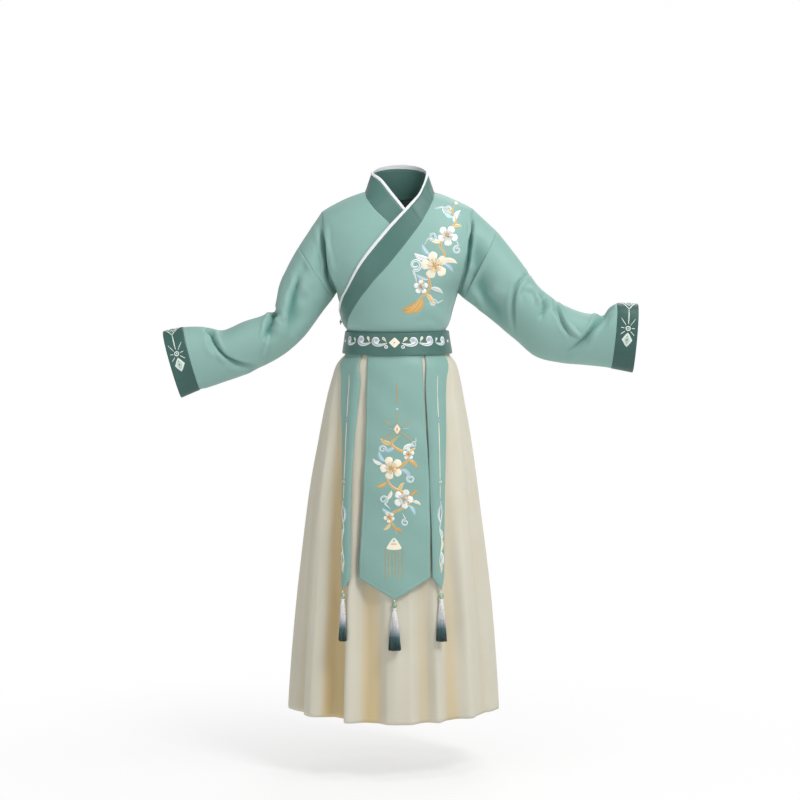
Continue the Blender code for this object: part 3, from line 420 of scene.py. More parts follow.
def body_normal(row, turn, face):
    """The direction straight out of the body."""
    step = 0.02
    sideways = body_point(row, turn + step, face) - body_point(row, np.maximum(turn - step, 0.0), face)
    upper = body_point(np.minimum(row + step, TOP_ROW), turn, face)
    lower = body_point(np.maximum(row - step, 0.0), turn, face)
    return unit(np.cross(upper - lower, sideways)) * -face


def on_chest(x, z, lift):
    """Points of the front view laid on the chest and lifted off it, and the way out of it there."""
    row = body_row_at(x, -1, 2, z)
    turn = turn_at(row, x)
    out = body_normal(row, turn, -1)
    return body_point(row, turn, -1) + out * np.asarray(lift)[..., None], out, row


def crease_height(places, creases):
    """How far the creases move cloth out, at places in the layout that their lines are drawn in."""
    height = np.zeros(len(places))
    for number, crease in enumerate(creases):
        knots = along(crease.line, np.linspace(0, len(crease.line) - 1, 33))
        reach = 4.5 * crease.half_width
        near = np.all((places > knots.min(0) - reach) & (places < knots.max(0) + reach), axis=1)
        if not near.any():
            continue
        run = np.diff(knots, axis=0)
        away = places[near][:, None] - knots[None, :-1]
        share = np.clip((away * run).sum(-1) / (run**2).sum(-1), 0.0, 1.0)
        gap = away - share[..., None] * run
        best = (gap**2).sum(-1).argmin(1)
        each = np.arange(len(best))
        gap, run_here = gap[each, best], run[best]
        side = np.sign(run_here[:, 0] * gap[:, 1] - run_here[:, 1] * gap[:, 0])
        down = (best + share[each, best]) / len(run)
        wander = 1 + 0.18 * np.sin(2.4 * number + 9.0 * down) + 0.10 * np.sin(5.1 * number + 21.0 * down)
        width = crease.half_width * wander * (1 + crease.lean * side)
        across = np.linalg.norm(gap, axis=1) / width
        fade = soft(down, 0.0, 0.3) * soft(1 - down, 0.0, 0.3)
        lip = 0.14 * np.exp(-(((across - 1.9) / 0.75) ** 2))
        height[near] += crease.height * fade * (np.exp(-(across**2)) - lip)
    return height


def patch(columns, rows, place):
    """A grid of points from a function of the shares across and up, and its faces.

    The function gives the points and, for each, its place on the cut cloth and the distance to the
    nearest finished edge."""
    across, up = np.meshgrid(np.linspace(0, 1, columns + 1), np.linspace(0, 1, rows + 1))
    points, cut_x, cut_z, edge = place(across, up)
    index = np.arange(across.size).reshape(across.shape)
    faces = np.stack((index[:-1, :-1], index[:-1, 1:], index[1:, 1:], index[1:, :-1]), -1)
    cut = np.stack(np.broadcast_arrays(cut_x, cut_z, edge), -1)
    return points.reshape(-1, 3), cut.reshape(-1, 3), faces.reshape(-1, 4)


def normals_of(points, faces):
    """The normal at each point, from the faces round it."""
    first, second = points[faces[:, 2]] - points[faces[:, 0]], points[faces[:, 3]] - points[faces[:, 1]]
    across = np.cross(first, second)
    total = np.zeros_like(points)
    for corner in range(4):
        np.add.at(total, faces[:, corner], across)
    return unit(total)


def welded(patches):
    """Patches joined where their points meet: points, cut places and faces."""
    points = np.concatenate([made[0] for made in patches])
    cut = np.concatenate([made[1] for made in patches])
    starts = np.cumsum([0] + [len(made[0]) for made in patches])
    faces = np.concatenate([made[2] + start for made, start in zip(patches, starts)])
    keys = np.round(points / WELD).astype(np.int64)
    _, kept, which = np.unique(keys, axis=0, return_index=True, return_inverse=True)
    return points[kept], cut[kept], which.reshape(-1)[faces]


def mesh_object(name, points, faces, material, attributes):
    """An object from arrays, shaded smoothly, with its attributes for the material."""
    mesh = bpy.data.meshes.new(name)
    mesh.from_pydata(points.tolist(), [], [list(face) for face in faces])
    for title, (kind, field, values) in attributes.items():
        made = mesh.attributes.new(title, kind, "POINT")
        made.data.foreach_set(field, np.asarray(values, np.float32).ravel())
    mesh.materials.append(material)
    mesh.shade_smooth()
    obj = bpy.data.objects.new(name, mesh)
    bpy.context.scene.collection.objects.link(obj)
    return obj


def cloth(name, material, wall, patches, relief, stands_for):
    """A piece of cloth: welded patches, moved out by their relief and thickened outwards.

    Its free edges are thinner than the rest, so that they look turned in and not sawn off."""
    points, cut, faces = welded(patches)
    normals = normals_of(points, faces)
    height = np.zeros(len(points)) if relief is None else relief(points, normals, cut)
    points = points + normals * height[:, None]
    attributes = {
        "cut": ("FLOAT_VECTOR", "vector", cut),
        # fold is the relief's height; the woven materials paint shade and light into their colour from it.
        "fold": ("FLOAT", "value", height),
    }
    obj = mesh_object(name, points, faces, material, attributes)
    sides = np.sort(np.stack((faces, np.roll(faces, -1, axis=1)), -1).reshape(-1, 2), axis=1)
    edges, uses = np.unique(sides, axis=0, return_counts=True)
    rim = np.unique(edges[uses == 1])
    group = obj.vertex_groups.new(name="wall")
    group.add(range(len(points)), 1.0, "REPLACE")
    group.add([int(index) for index in rim], 0.45, "REPLACE")
    thickness = obj.modifiers.new("wall", "SOLIDIFY")
    thickness.thickness = wall
    thickness.offset = 1.0
    thickness.use_even_offset = False
    thickness.use_quality_normals = True
    thickness.vertex_group = "wall"
    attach(obj, "root")
    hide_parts(stands_for)
    return obj


def collar_line(share):
    """Points along the collar at a share across it, from its outer end round to its under end, with
    the place in the front view of the seam at each."""
    points, seams = [], []
    for table, neck, outer in ((OUTER_COLLAR, LEFT_NECK, True), (UNDER_COLLAR, RIGHT_NECK, False)):
        row = through(table, np.arange(3 * (len(table) - 1) + 1) / 3)
        x, z = row.seam_x + (row.edge_x - row.seam_x) * share, row.seam_z + (row.edge_z - row.seam_z) * share
        chest = on_chest(x, z, layer_lift(x, z) * outer)[0]
        row_neck = through(neck, np.arange(len(neck)))
        seam = on_chest(row_neck.seam_x, row_neck.seam_z, layer_lift(row_neck.seam_x, row_neck.seam_z) * outer)[0]
        edge = np.stack((row_neck.edge_x, row_neck.edge_y, row_neck.edge_z), -1)
        throat = seam + (edge - seam) * share
        chest_seam = np.stack((row.seam_x, row.seam_z), -1)
        throat_seam = np.stack((row_neck.seam_x, row_neck.seam_z), -1)
        points += [chest, throat, nape_line(share)] if outer else [throat, chest]
        seams += [chest_seam, throat_seam, nape_line(0.0)[:, ::2]] if outer else [throat_seam, chest_seam]
    return np.concatenate(points), np.concatenate(seams)


NECK_EDGE_HALF_WIDTH = 0.0470
NECK_EDGE_BACK = 0.0380
NECK_SIDE_HEIGHT = 0.0390
NAPE_HEIGHT = 0.0555
NECK_STEPS = 10
NECK_FOOT_DROP = 0.0022


def nape_line(share):
    """The collar's points behind the shoulder ridge, where seam and edge run on ovals."""
    turn = np.linspace(0, math.pi, NECK_STEPS + 1)
    x, y = NECK_MIDDLE + NECK_HALF_WIDTH * np.cos(turn), NECK_BACK * np.sin(turn)
    row = body_row_at(x, 1, 1, y)
    rise = NECK_SIDE_HEIGHT + (NAPE_HEIGHT - NECK_SIDE_HEIGHT) * np.sin(turn)
    edge = np.stack((NECK_MIDDLE + NECK_EDGE_HALF_WIDTH * np.cos(turn), NECK_EDGE_BACK * np.sin(turn), rise), -1)
    foot = body_point(row, turn_at(row, x), 1) - (0, 0, NECK_FOOT_DROP)
    return foot + (edge - foot) * share


def seam_rows(outer):
    """Where the collar's seam crosses the body's rows on one front: the rows and the x at each."""
    places = collar_line(0.0)[1]
    last_outer = 3 * (len(OUTER_COLLAR) - 1) + 1 + len(LEFT_NECK)
    chosen = places[:last_outer + 1] if outer else places[last_outer + NECK_STEPS:]
    row = on_chest(chosen[:, 0], chosen[:, 1], np.zeros(len(chosen)))[2]
    order = np.argsort(row)
    return row[order], chosen[order, 0]


def chest_patch(side, low, high, steps):
    """A front's chest between two of the body's rows, from its side seam to under the collar."""
    rows, seam_x = seam_rows(side > 0)
    start = 0.0 if side > 0 else math.pi

    def place(across, up):
        row = low + (high - low) * up
        lap = UNDERLAP * (1 - soft(row, TOP_ROW - 2.0, TOP_ROW - 0.5))
        stop = turn_at(row, np.interp(row, rows, seam_x) - lap * side)
        turn = start + (stop - start) * (across if side < 0 else 1 - across)
        points = body_point(row, turn, -1)
        if side > 0:
            lift = layer_lift(points[..., 0], points[..., 2])
            points = points + body_normal(row, turn, -1) * lift[..., None]
        return points, points[..., 0], points[..., 2], 1.0

    return patch(FRONT_STEPS, steps, place)


def armhole_point(side, turn):
    """The armhole's points: turn 0 at the shoulder, pi in the armpit, with the front in between."""
    face = np.where(np.sin(turn) > 0, -1, 1)
    share = np.arccos(np.clip(np.cos(turn), -1, 1)) / math.pi
    return body_point(TOP_ROW + (ARMPIT_ROW - TOP_ROW) * share, 0.0 if side > 0 else math.pi, face)


def sleeve_base(table, row, turn):
    """Points of a sleeve before its folds: turn is 0 at the top and grows over the front."""
    level = through(table, row)
    top = np.stack(np.broadcast_arrays(level.top_x, -level.forward, level.top_z), -1)
    low = np.stack(np.broadcast_arrays(level.low_x, -level.forward, level.low_z), -1)
    turn = np.asarray(turn, float)
    bulge = level.half_depth * np.sin(turn) * (1 + SLEEVE_FULLNESS * np.cos(turn))
    points = (top + low) / 2 + (top - low) / 2 * np.cos(turn)[..., None]
    points[..., 1] -= bulge
    return points


def sleeve_head(side, face):
    """The top of a sleeve that is cut in one with the body, from the armhole to the joint."""
    table = LEFT_SLEEVE if side > 0 else RIGHT_SLEEVE

    def place(across, up):
        out = across if side * face < 0 else 1 - across
        turn = -math.pi * (1 - up) * face
        armhole = armhole_point(side, turn)
        points = armhole + (sleeve_base(table, 0.0 * out, turn) - armhole) * out[..., None]
        seam_y = -table[0].forward * out
        points[..., 1] = np.maximum(points[..., 1] * face, seam_y * face) * face
        return points, points[..., 0], points[..., 2], (1 - out) * 0.045 + 0.004

    return patch(HEAD_STEPS, SHOULDER_STEPS, place)


def chest_relief(points, normals, cut):
    """The fronts' creases. The under front follows the outer one, so that they stay apart."""
    return crease_height(points[:, ::2], FRONT_CREASES)


def back_relief(points, normals, cut):
    return crease_height(points[:, ::2], BACK_CREASES)


def woven(name, light, shade, roughness, thread=0.0007, stitch_at=0.004, stitch_shows=1.0, figure=0.0,
          painted_fold_shade=None):
    """A satin or crepe weave: fine twill, uneven threads, soft clouding, paler worn edges and a row of
    stitches beside each finished edge. figure draws a brocade's small lozenges in its own colour. The
    relief's fold height is painted into the colour as shade in the troughs and light on the ridges, and a
    colour of painted shade can be given for the deepest folds."""
    material = bpy.data.materials.new(name)
    material.use_nodes = True
    shader = material.node_tree.nodes["Principled BSDF"]
    wire = Wire(material.node_tree)
    cut = wire.node("ShaderNodeAttribute", {"attribute_name": "cut"}, out="Vector")
    fold = wire.node("ShaderNodeAttribute", {"attribute_name": "fold"}, out="Fac")
    u = wire.node("ShaderNodeSeparateXYZ", None, {0: cut})
    v, edge = u.other("Y"), u.other("Z")
    flat = wire.node("ShaderNodeCombineXYZ", None, {"X": u, "Y": v})
    slub_place = wire.node("ShaderNodeCombineXYZ", None, {"X": u * 60.0, "Y": v * 1400.0})
    cloud = wire.node("ShaderNodeTexNoise", None, {"Vector": flat, "Scale": 14.0, "Detail": 2.0})
    slub = wire.node("ShaderNodeTexNoise", None, {"Vector": slub_place, "Scale": 1.0, "Detail": 2.0})
    fine = wire.node("ShaderNodeTexNoise", None, {"Vector": flat, "Scale": 900.0, "Detail": 2.0})
    twill = (u + v).wave(thread) * 0.5 + (u - v * 0.35).wave(thread * 0.8) * 0.3
    worn = 1 - edge.step(0.0, 0.0016)
    line = 1 - abs(edge - stitch_at).step(0.00025, 0.0007)
    stitch = line * (u + v * 1.3).wave(0.0030).step(-0.55, -0.15)
    groove_with_shade = 1 - abs(edge - stitch_at).step(0.0004, 0.0022)
    # Painted shade and light: the fold height darkens the troughs and lightens the ridges.
    tone = 0.5 + (cloud - 0.5) * 0.9 + (slub - 0.5) * 0.55 + (fine - 0.5) * 0.25 + fold * 28.0
    # Painted shade along the stitched groove beside each edge.
    tone = tone - groove_with_shade * 0.22 * stitch_shows
    tone = tone + worn * 0.25
    surface = twill * 0.05 + slub * 0.10 + fine * 0.06 + (stitch * 0.30 - groove_with_shade * 0.16) * stitch_shows
    dullness = roughness + (slub - 0.5) * 0.10 + worn * 0.08 - stitch * 0.12
    if figure:
        lozenge = abs(((u + v) * 1.0).wave(0.0085)) * abs((u - v).wave(0.0085))
        leaf = lozenge.step(0.38, 0.52)
        ring = leaf - lozenge.step(0.66, 0.78)
        tone = tone + ring * figure
        dullness = dullness - ring * 0.10
        surface = surface + ring * 0.05
    colour = tone.step(-0.25, 1.25).blend(shade, light)
    # Painted shade: the deepest troughs take the given colour of painted fold shade.
    if painted_fold_shade:
        colour = (fold * -1.0).step(0.0015, 0.0150).blend(colour, painted_fold_shade)
    colour = (stitch * 0.55 * stitch_shows).blend(colour, tuple(min(1.0, c * 1.25 + 0.02) for c in light))
    wire.plug(shader.inputs["Base Color"], colour)
    wire.plug(shader.inputs["Roughness"], dullness)
    bump = wire.node("ShaderNodeBump", None, {"Height": surface, "Distance": 0.001, "Strength": 0.8})
    wire.plug(shader.inputs["Normal"], bump)
    shader.inputs["Sheen Weight"].default_value = 0.12
    shader.inputs["Sheen Roughness"].default_value = 0.45
    shader.inputs["Specular IOR Level"].default_value = 0.35
    return material


def back_patch(low_share, steps):
    """The back, below or above the armpits, from side seam to side seam and up to the neck."""
    top = BODY[-1].side_x
    neck_width, neck_back = NECK_HALF_WIDTH + 0.0012, NECK_BACK + 0.0012
    left, right = math.acos((NECK_MIDDLE + neck_width) / top), math.acos((NECK_MIDDLE - neck_width) / top)
    swing = np.cos(np.linspace(0, math.pi, BACK_NECK_STEPS + 1))
    turns = np.concatenate((
        np.linspace(0, left, BACK_SIDE_STEPS + 1)[:-1],
        np.arccos((NECK_MIDDLE + neck_width * swing) / top),
        np.linspace(right, math.pi, BACK_SIDE_STEPS + 1)[1:],
    ))
    low, high = np.full_like(turns, ARMPIT_ROW), np.full_like(turns, TOP_ROW)
    for _ in range(36):
        middle = (low + high) / 2
        point = body_point(middle, turns, 1)
        outside = ((point[:, 0] - NECK_MIDDLE) / neck_width) ** 2 + (point[:, 1] / neck_back) ** 2 > 1
        low, high = np.where(outside, middle, low), np.where(outside, high, middle)
    in_neck = abs(body_point(TOP_ROW, turns, 1)[:, 0] - NECK_MIDDLE) < neck_width - 2 * WELD
    top_rows = np.where(in_neck, (low + high) / 2, TOP_ROW)

    def place(across, up):
        column = np.round(across * (len(turns) - 1)).astype(int)
        upper = ARMPIT_ROW + (top_rows[column] - ARMPIT_ROW) * up
        points = body_point(ARMPIT_ROW * up if low_share else upper, turns[column], 1)
        return points, points[..., 0], points[..., 2], 1.0

    return patch(len(turns) - 1, steps, place)


mint_satin = woven("mint_satin", MINT, MINT_SHADE, 0.58, painted_fold_shade=MINT_PAINTED_SHADE)
front_left = cloth("top_front_left", mint_satin, CLOTH_WALL, [
    chest_patch(1, 0, ARMPIT_ROW, CHEST_STEPS),
    chest_patch(1, ARMPIT_ROW, TOP_ROW, SHOULDER_STEPS),
    sleeve_head(1, -1),
], chest_relief, "front_left")
front_right = cloth("top_front_right", mint_satin, CLOTH_WALL, [
    chest_patch(-1, 0, ARMPIT_ROW, CHEST_STEPS),
    chest_patch(-1, ARMPIT_ROW, TOP_ROW, SHOULDER_STEPS),
    sleeve_head(-1, -1),
], chest_relief, "front_right")
back = cloth("top_back", mint_satin, CLOTH_WALL, [
    back_patch(True, CHEST_STEPS),
    back_patch(False, SHOULDER_STEPS),
    sleeve_head(1, 1),
    sleeve_head(-1, 1),
], back_relief, "back")


# The sleeves: long tubes of the same satin, sewn on across the upper arm with a flat seam and worn
# with bent elbows, so they crease from the elbow's inside. Each ends in a green band at the wrist.
SLEEVE_END, CUFF_END = 8, 9
STATION_LENGTH = 0.036
SLEEVE_RADIUS = 0.045
BAND_WALL = 0.0022
GREEN = (0.088, 0.196, 0.170)
GREEN_SHADE = (0.044, 0.118, 0.100)
# Painted shade: the cuffs' green is a darker copy of the collar's green satin.
CUFF_SHADED_GREEN = (0.047, 0.120, 0.105)
CUFF_SHADE = (0.022, 0.070, 0.059)
RIGHT_FRONT_CREASES = (
    Crease(((-0.149, -0.060), (-0.160, -0.115), (-0.176, -0.145)), 0.0100, -0.0030, 0.2),
    Crease(((-0.172, -0.132), (-0.182, -0.168), (-0.187, -0.206), (-0.190, -0.256)), 0.0100, -0.0084, 0.4),
    Crease(((-0.162, -0.135), (-0.172, -0.160), (-0.174, -0.190), (-0.172, -0.225)), 0.0080, 0.0024, 0.0),
    Crease(((-0.218, -0.196), (-0.226, -0.214), (-0.231, -0.236), (-0.232, -0.266)), 0.0074, -0.0092, 0.5),
    Crease(((-0.227, -0.248), (-0.234, -0.270), (-0.245, -0.298)), 0.0036, 0.0040, 0.0),
    Crease(((-0.330, -0.236), (-0.327, -0.250), (-0.316, -0.272), (-0.298, -0.290), (-0.270, -0.301),
            (-0.236, -0.304)), 0.0050, -0.0072, -0.45),
    Crease(((-0.334, -0.246), (-0.328, -0.262), (-0.312, -0.286), (-0.284, -0.305)), 0.0036, 0.0030, 0.0),
    Crease(((-0.345, -0.238), (-0.334, -0.243), (-0.322, -0.252)), 0.0030, -0.0060, 0.0),
)
LEFT_FRONT_CREASES = (
    Crease(((0.132, -0.120), (0.142, -0.160), (0.165, -0.200), (0.197, -0.240)), 0.0130, -0.0066, 0.4),
    Crease(((0.244, -0.140), (0.226, -0.148), (0.214, -0.163), (0.208, -0.188), (0.2085, -0.226),
            (0.216, -0.260)), 0.0034, -0.0046, -0.4),
    Crease(((0.236, -0.146), (0.222, -0.158), (0.2150, -0.176), (0.2150, -0.205)), 0.0050, 0.0030, 0.0),
    Crease(((0.2200, -0.160), (0.2400, -0.170), (0.2500, -0.184), (0.2530, -0.200)), 0.0040, 0.0036, 0.0),
    Crease(((0.246, -0.178), (0.2590, -0.186), (0.2600, -0.200), (0.250, -0.222)), 0.0046, -0.0060, 0.3),
    Crease(((0.276, -0.186), (0.283, -0.205), (0.294, -0.232), (0.314, -0.254)), 0.0062, -0.0036, 0.3),
    Crease(((0.287, -0.186), (0.2935, -0.212), (0.3065, -0.236), (0.330, -0.256)), 0.0034, 0.0040, 0.0),
    Crease(((0.388, -0.186), (0.3750, -0.200), (0.352, -0.224), (0.328, -0.256), (0.290, -0.288)),
           0.0056, -0.0076, 0.5),
    Crease(((0.386, -0.196), (0.372, -0.213), (0.352, -0.240), (0.334, -0.266)), 0.0046, 0.0026, 0.0),
)
RIGHT_BACK_CREASES = (
    Crease(((-0.150, -0.070), (-0.170, -0.130), (-0.200, -0.170), (-0.215, -0.230)), 0.0120, -0.0048, 0.2),
    Crease(((-0.215, -0.190), (-0.225, -0.225), (-0.250, -0.262), (-0.290, -0.290)), 0.0100, -0.0060, 0.3),
    Crease(((-0.208, -0.205), (-0.212, -0.245), (-0.235, -0.285)), 0.0080, 0.0040, 0.0),
    Crease(((-0.335, -0.245), (-0.320, -0.275), (-0.280, -0.300)), 0.0070, -0.0055, 0.2),
    Crease(((-0.345, -0.262), (-0.325, -0.298), (-0.290, -0.318)), 0.0070, 0.0032, 0.0),
)
LEFT_BACK_CREASES = (
    Crease(((0.150, -0.070), (0.175, -0.130), (0.195, -0.180), (0.200, -0.225)), 0.0130, -0.0048, 0.2),
    Crease(((0.245, -0.165), (0.238, -0.200), (0.255, -0.240), (0.290, -0.272)), 0.0100, -0.0062, 0.3),
    Crease(((0.230, -0.170), (0.222, -0.210), (0.232, -0.255)), 0.0080, 0.0040, 0.0),
    Crease(((0.375, -0.200), (0.350, -0.235), (0.310, -0.268)), 0.0080, -0.0055, 0.2),
    Crease(((0.385, -0.222), (0.362, -0.258), (0.325, -0.285)), 0.0075, 0.0034, 0.0),
)
SLEEVE_DEPTH = 1.45
SLEEVE_STEPS, SLEEVE_ROUND = 138, 116
CUFF_STEPS = 26


def sleeve_relief(front, behind):
    """The sleeve's creases: one list where the cloth faces forward and one where it faces back."""
    def relief(points, normals, cut):
        ahead = soft(-normals[:, 1], -0.3, 0.3)
        places = points[:, ::2]
        height = crease_height(places, front) * ahead + crease_height(places, behind) * (1 - ahead)
        return SLEEVE_DEPTH * height * soft(cut[:, 2], 0.0, 0.016)
    return relief


def tube_patch(table, first, last, steps, cuff=False):
    """A tube of cloth along a sleeve between two of its sections."""
    side = 1 if table[0].top_x > 0 else -1

    def place(across, up):
        turn = (2 * math.pi * across * side) % (2 * math.pi)
        row = first + (last - first) * up
        points = sleeve_base(table, row, turn)
        if cuff:
            edge = np.minimum(up, 1 - up) * (last - first) * STATION_LENGTH
        else:
            edge = np.minimum(row, SLEEVE_END - row) * STATION_LENGTH
        return points, across * 2 * math.pi * SLEEVE_RADIUS, row * STATION_LENGTH, edge

    return patch(SLEEVE_ROUND, steps, place)


green_satin = woven("green_satin", GREEN, GREEN_SHADE, 0.42, figure=0.35, stitch_at=0.0022)
# Painted shade: the cuffs take a darker copy of the collar's green satin.
cuff_satin_shaded = woven("cuff_satin_shaded", CUFF_SHADED_GREEN, CUFF_SHADE, 0.44, figure=0.6, stitch_at=0.0022)
cuffs = {}
for side, table, front, behind in (
    ("right", RIGHT_SLEEVE, RIGHT_FRONT_CREASES, RIGHT_BACK_CREASES),
    ("left", LEFT_SLEEVE, LEFT_FRONT_CREASES, LEFT_BACK_CREASES),
):
    cloth(
        f"sleeve_cloth_{side}", mint_satin, CLOTH_WALL,
        [tube_patch(table, 0, SLEEVE_END + 0.06, SLEEVE_STEPS)],
        sleeve_relief(front, behind), f"sleeve_{side}",
    )
    cuffs[side] = cloth(
        f"cuff_band_{side}", cuff_satin_shaded, BAND_WALL,
        [tube_patch(table, SLEEVE_END, CUFF_END, CUFF_STEPS, cuff=True)],
        None, f"cuff_{side}",
    )


# The collar: one wide band of green satin that crosses on the chest and stands round the neck, edged
# with a white satin piping that is folded over its free edge.
COLLAR_SHARES = (0.0, 0.012, 0.04, 0.12, 0.24, 0.36, 0.48, 0.60, 0.72, 0.80, 0.855, 0.875)
PIPING_SHARES = (0.862, 0.88, 0.905, 0.935, 0.97, 1.0)
COLLAR_STEPS = 360
PIPING_WALL = 0.0030
WHITE = (0.62, 0.635, 0.65)
WHITE_SHADE = (0.58, 0.60, 0.61)


def band_patch(shares):
    """A strip of the collar between shares across it, resampled evenly along its length."""
    lines = np.stack([collar_line(share)[0] for share in shares], 1)
    middle = lines[:, len(shares) // 2]
    length = np.concatenate(([0], np.cumsum(np.linalg.norm(np.diff(middle, axis=0), axis=1))))
    place_at = np.interp(np.linspace(0, length[-1], COLLAR_STEPS + 1), length, np.arange(len(length)))
    grid = np.stack([along(lines[:, column], place_at) for column in range(len(shares))], 1)
    width = 0.038

    def place(across, up):
        column = np.round(across * (len(shares) - 1)).astype(int)
        step = np.round((1 - up) * COLLAR_STEPS).astype(int)
        share = np.asarray(shares)[column]
        edge = np.minimum(share, 0.87 - share) * width
        return grid[step, column], share * width, (1 - up) * length[-1], np.maximum(edge, 0.0)

    return patch(len(shares) - 1, COLLAR_STEPS, place)


def collar_relief(points, normals, cut):
    """The band follows the chest's creases where it lies on it."""
    return chest_relief(points, normals, cut) * soft(-points[:, 2], -0.01, 0.02) * soft(-points[:, 1], 0.0, 0.03)


white_satin = woven("white_satin", WHITE, WHITE_SHADE, 0.42, stitch_at=0.0)
cloth("collar_band", green_satin, BAND_WALL, [band_patch(COLLAR_SHARES)], collar_relief, "collar")
cloth("collar_edging", white_satin, PIPING_WALL, [band_patch(PIPING_SHARES)], collar_relief,
      "collar_piping")


# The skirt: two wide panels of cream crepe, pleated into a waistband and hanging in deep soft folds
# to a plain turned-up hem at the ankle.
SkirtRow = namedtuple("SkirtRow", "level half_width front_depth back_depth middle_x")
SKIRT = (
    SkirtRow(-0.2700, 0.0902, 0.0764, 0.0728, 0.0000),
    SkirtRow(-0.2860, 0.0920, 0.0780, 0.0752, 0.0000),
    SkirtRow(-0.2960, 0.1000, 0.0832, 0.0820, -0.0006),
    SkirtRow(-0.3080, 0.1075, 0.0868, 0.0875, -0.0014),
    SkirtRow(-0.3360, 0.1150, 0.0910, 0.0935, -0.0024),
    SkirtRow(-0.3690, 0.1220, 0.0950, 0.0990, -0.0035),
    SkirtRow(-0.4410, 0.1355, 0.1040, 0.1080, -0.0045),
    SkirtRow(-0.5490, 0.1520, 0.1170, 0.1200, -0.0060),
    SkirtRow(-0.6930, 0.1675, 0.1310, 0.1330, -0.0060),
    SkirtRow(-0.8370, 0.1800, 0.1430, 0.1450, -0.0060),
    SkirtRow(-0.9260, 0.1865, 0.1495, 0.1515, -0.0060),
)
# Pleats: ridges above zero and troughs below, in degrees from the front towards the wearer's left, at
# the waist and at the hem. late makes the cloth keep a pleat's height and then turn sharply.
Pleat = namedtuple("Pleat", "waist_deg hem_deg height late")
PLEATS = (
    Pleat(-178, -177, 0.007, 1.0),
    Pleat(-163, -160, -0.014, 1.9),
    Pleat(-148, -143, 0.010, 0.8),
    Pleat(-133, -126, -0.015, 1.9),
    Pleat(-119, -112, 0.008, 1.0),
    Pleat(-105, -98, -0.007, 1.0),
    Pleat(-92, -82, 0.005, 1.0),
    Pleat(-81, -65, -0.006, 1.0),
    Pleat(-73, -51, 0.007, 0.8),
    Pleat(-62, -38.5, -0.025, 2.5),
    Pleat(-41, -25.5, 0.010, 0.8),
    Pleat(-30, -14.5, -0.013, 1.8),
    Pleat(-12, -3, 0.003, 1.0),
    Pleat(12, 9, 0.004, 0.7),
    Pleat(28, 17.5, -0.008, 2.0),
    Pleat(38, 25, 0.006, 0.8),
    Pleat(53, 34, -0.010, 1.9),
    Pleat(67, 46, 0.008, 0.8),
    Pleat(80, 61, -0.005, 1.0),
    Pleat(93, 78, 0.006, 1.0),
    Pleat(106, 95, -0.008, 1.2),
    Pleat(120, 110, 0.009, 0.8),
    Pleat(134, 125, -0.015, 1.9),
    Pleat(149, 142, 0.011, 0.8),
    Pleat(164, 159, -0.014, 1.9),
)
HEM_DIP = 0.0060
PLEAT_DRIFT = 2.5
PLEAT_START = 0.06
PLEAT_GROWTH = 0.85
RIGHT_SEAM = (-98.5, -90.5)
LEFT_SEAM = (99.5, 87.0)
CREAM = (0.600, 0.578, 0.484)
CREAM_SHADE = (0.550, 0.514, 0.405)
# Painted shade: a warm tan laid into the crepe's pleat valleys.
CREAM_PAINTED_SHADE = (0.560, 0.440, 0.235)
SKIRT_ROUND, SKIRT_STEPS = 236, 104


def place_of_level(table, level):
    """The place in a table of levels where the level has this value."""
    low, high = np.zeros_like(level), np.full_like(level, len(table) - 1)
    for _ in range(30):
        middle = (low + high) / 2
        above = through(table, middle).level > level
        low, high = np.where(above, middle, low), np.where(above, high, middle)
    return (low + high) / 2


def pleat_height(degrees, drift):
    """The height of the pleats at turns, once they have drifted from waist towards hem."""
    table = np.array(PLEATS + (PLEATS[0],), float)
    table[-1, :2] += 360
    places = table[:, 0] + (table[:, 1] - table[:, 0]) * np.asarray(drift)[..., None]
    degrees = places[..., 0] + (degrees - places[..., 0]) % 360
    height = np.zeros_like(degrees)
    for index in range(len(PLEATS)):
        start, end = places[..., index], places[..., index + 1]
        inside = (degrees >= start) & (degrees <= end)
        share = np.clip((degrees - start) / (end - start), 0, 1) ** table[index, 3]
        share = 1 - (1 - share) ** (1 / table[index + 1, 3] if table[index + 1, 3] < 1 else 1.0)
        ease = (1 - np.cos(math.pi * share)) / 2
        rise = table[index, 2] + (table[index + 1, 2] - table[index, 2]) * ease
        height = np.where(inside, rise, height)
    return height


def ring_point(level, turn, extra=0.0):
    """Points of an oval ring: turn is 0 in front and grows towards the wearer's left."""
    depth = np.where(np.cos(turn) > 0, level.front_depth, level.back_depth)
    x = (level.half_width + extra) * np.sin(turn)
    return np.stack(np.broadcast_arrays(x, -(depth + extra) * np.cos(turn), level.level), -1)


def skirt_drop(level):
    return np.clip((SKIRT[0].level - level) / (SKIRT[0].level - SKIRT[-1].level), 0.0, 1.0)


def skirt_point(level, turn, clear=0.0, bridged=False):
    """Points of the skirt at levels and turns, moved out by clear. bridged leaves the pleats out."""
    row = through(SKIRT, place_of_level(SKIRT, level))
    drop = skirt_drop(level)
    height = np.zeros_like(turn)
    if not bridged:
        height = pleat_height(np.degrees(turn), 1 - (1 - drop) ** PLEAT_DRIFT)
        height = height * soft(drop, 0.0, PLEAT_START) * drop**PLEAT_GROWTH
    points = ring_point(row, turn, height + clear)
    points[..., 0] += row.middle_x
    points[..., 2] = row.level - HEM_DIP * drop**3 * np.maximum(np.cos(turn), 0.0) ** 3
    return points, height


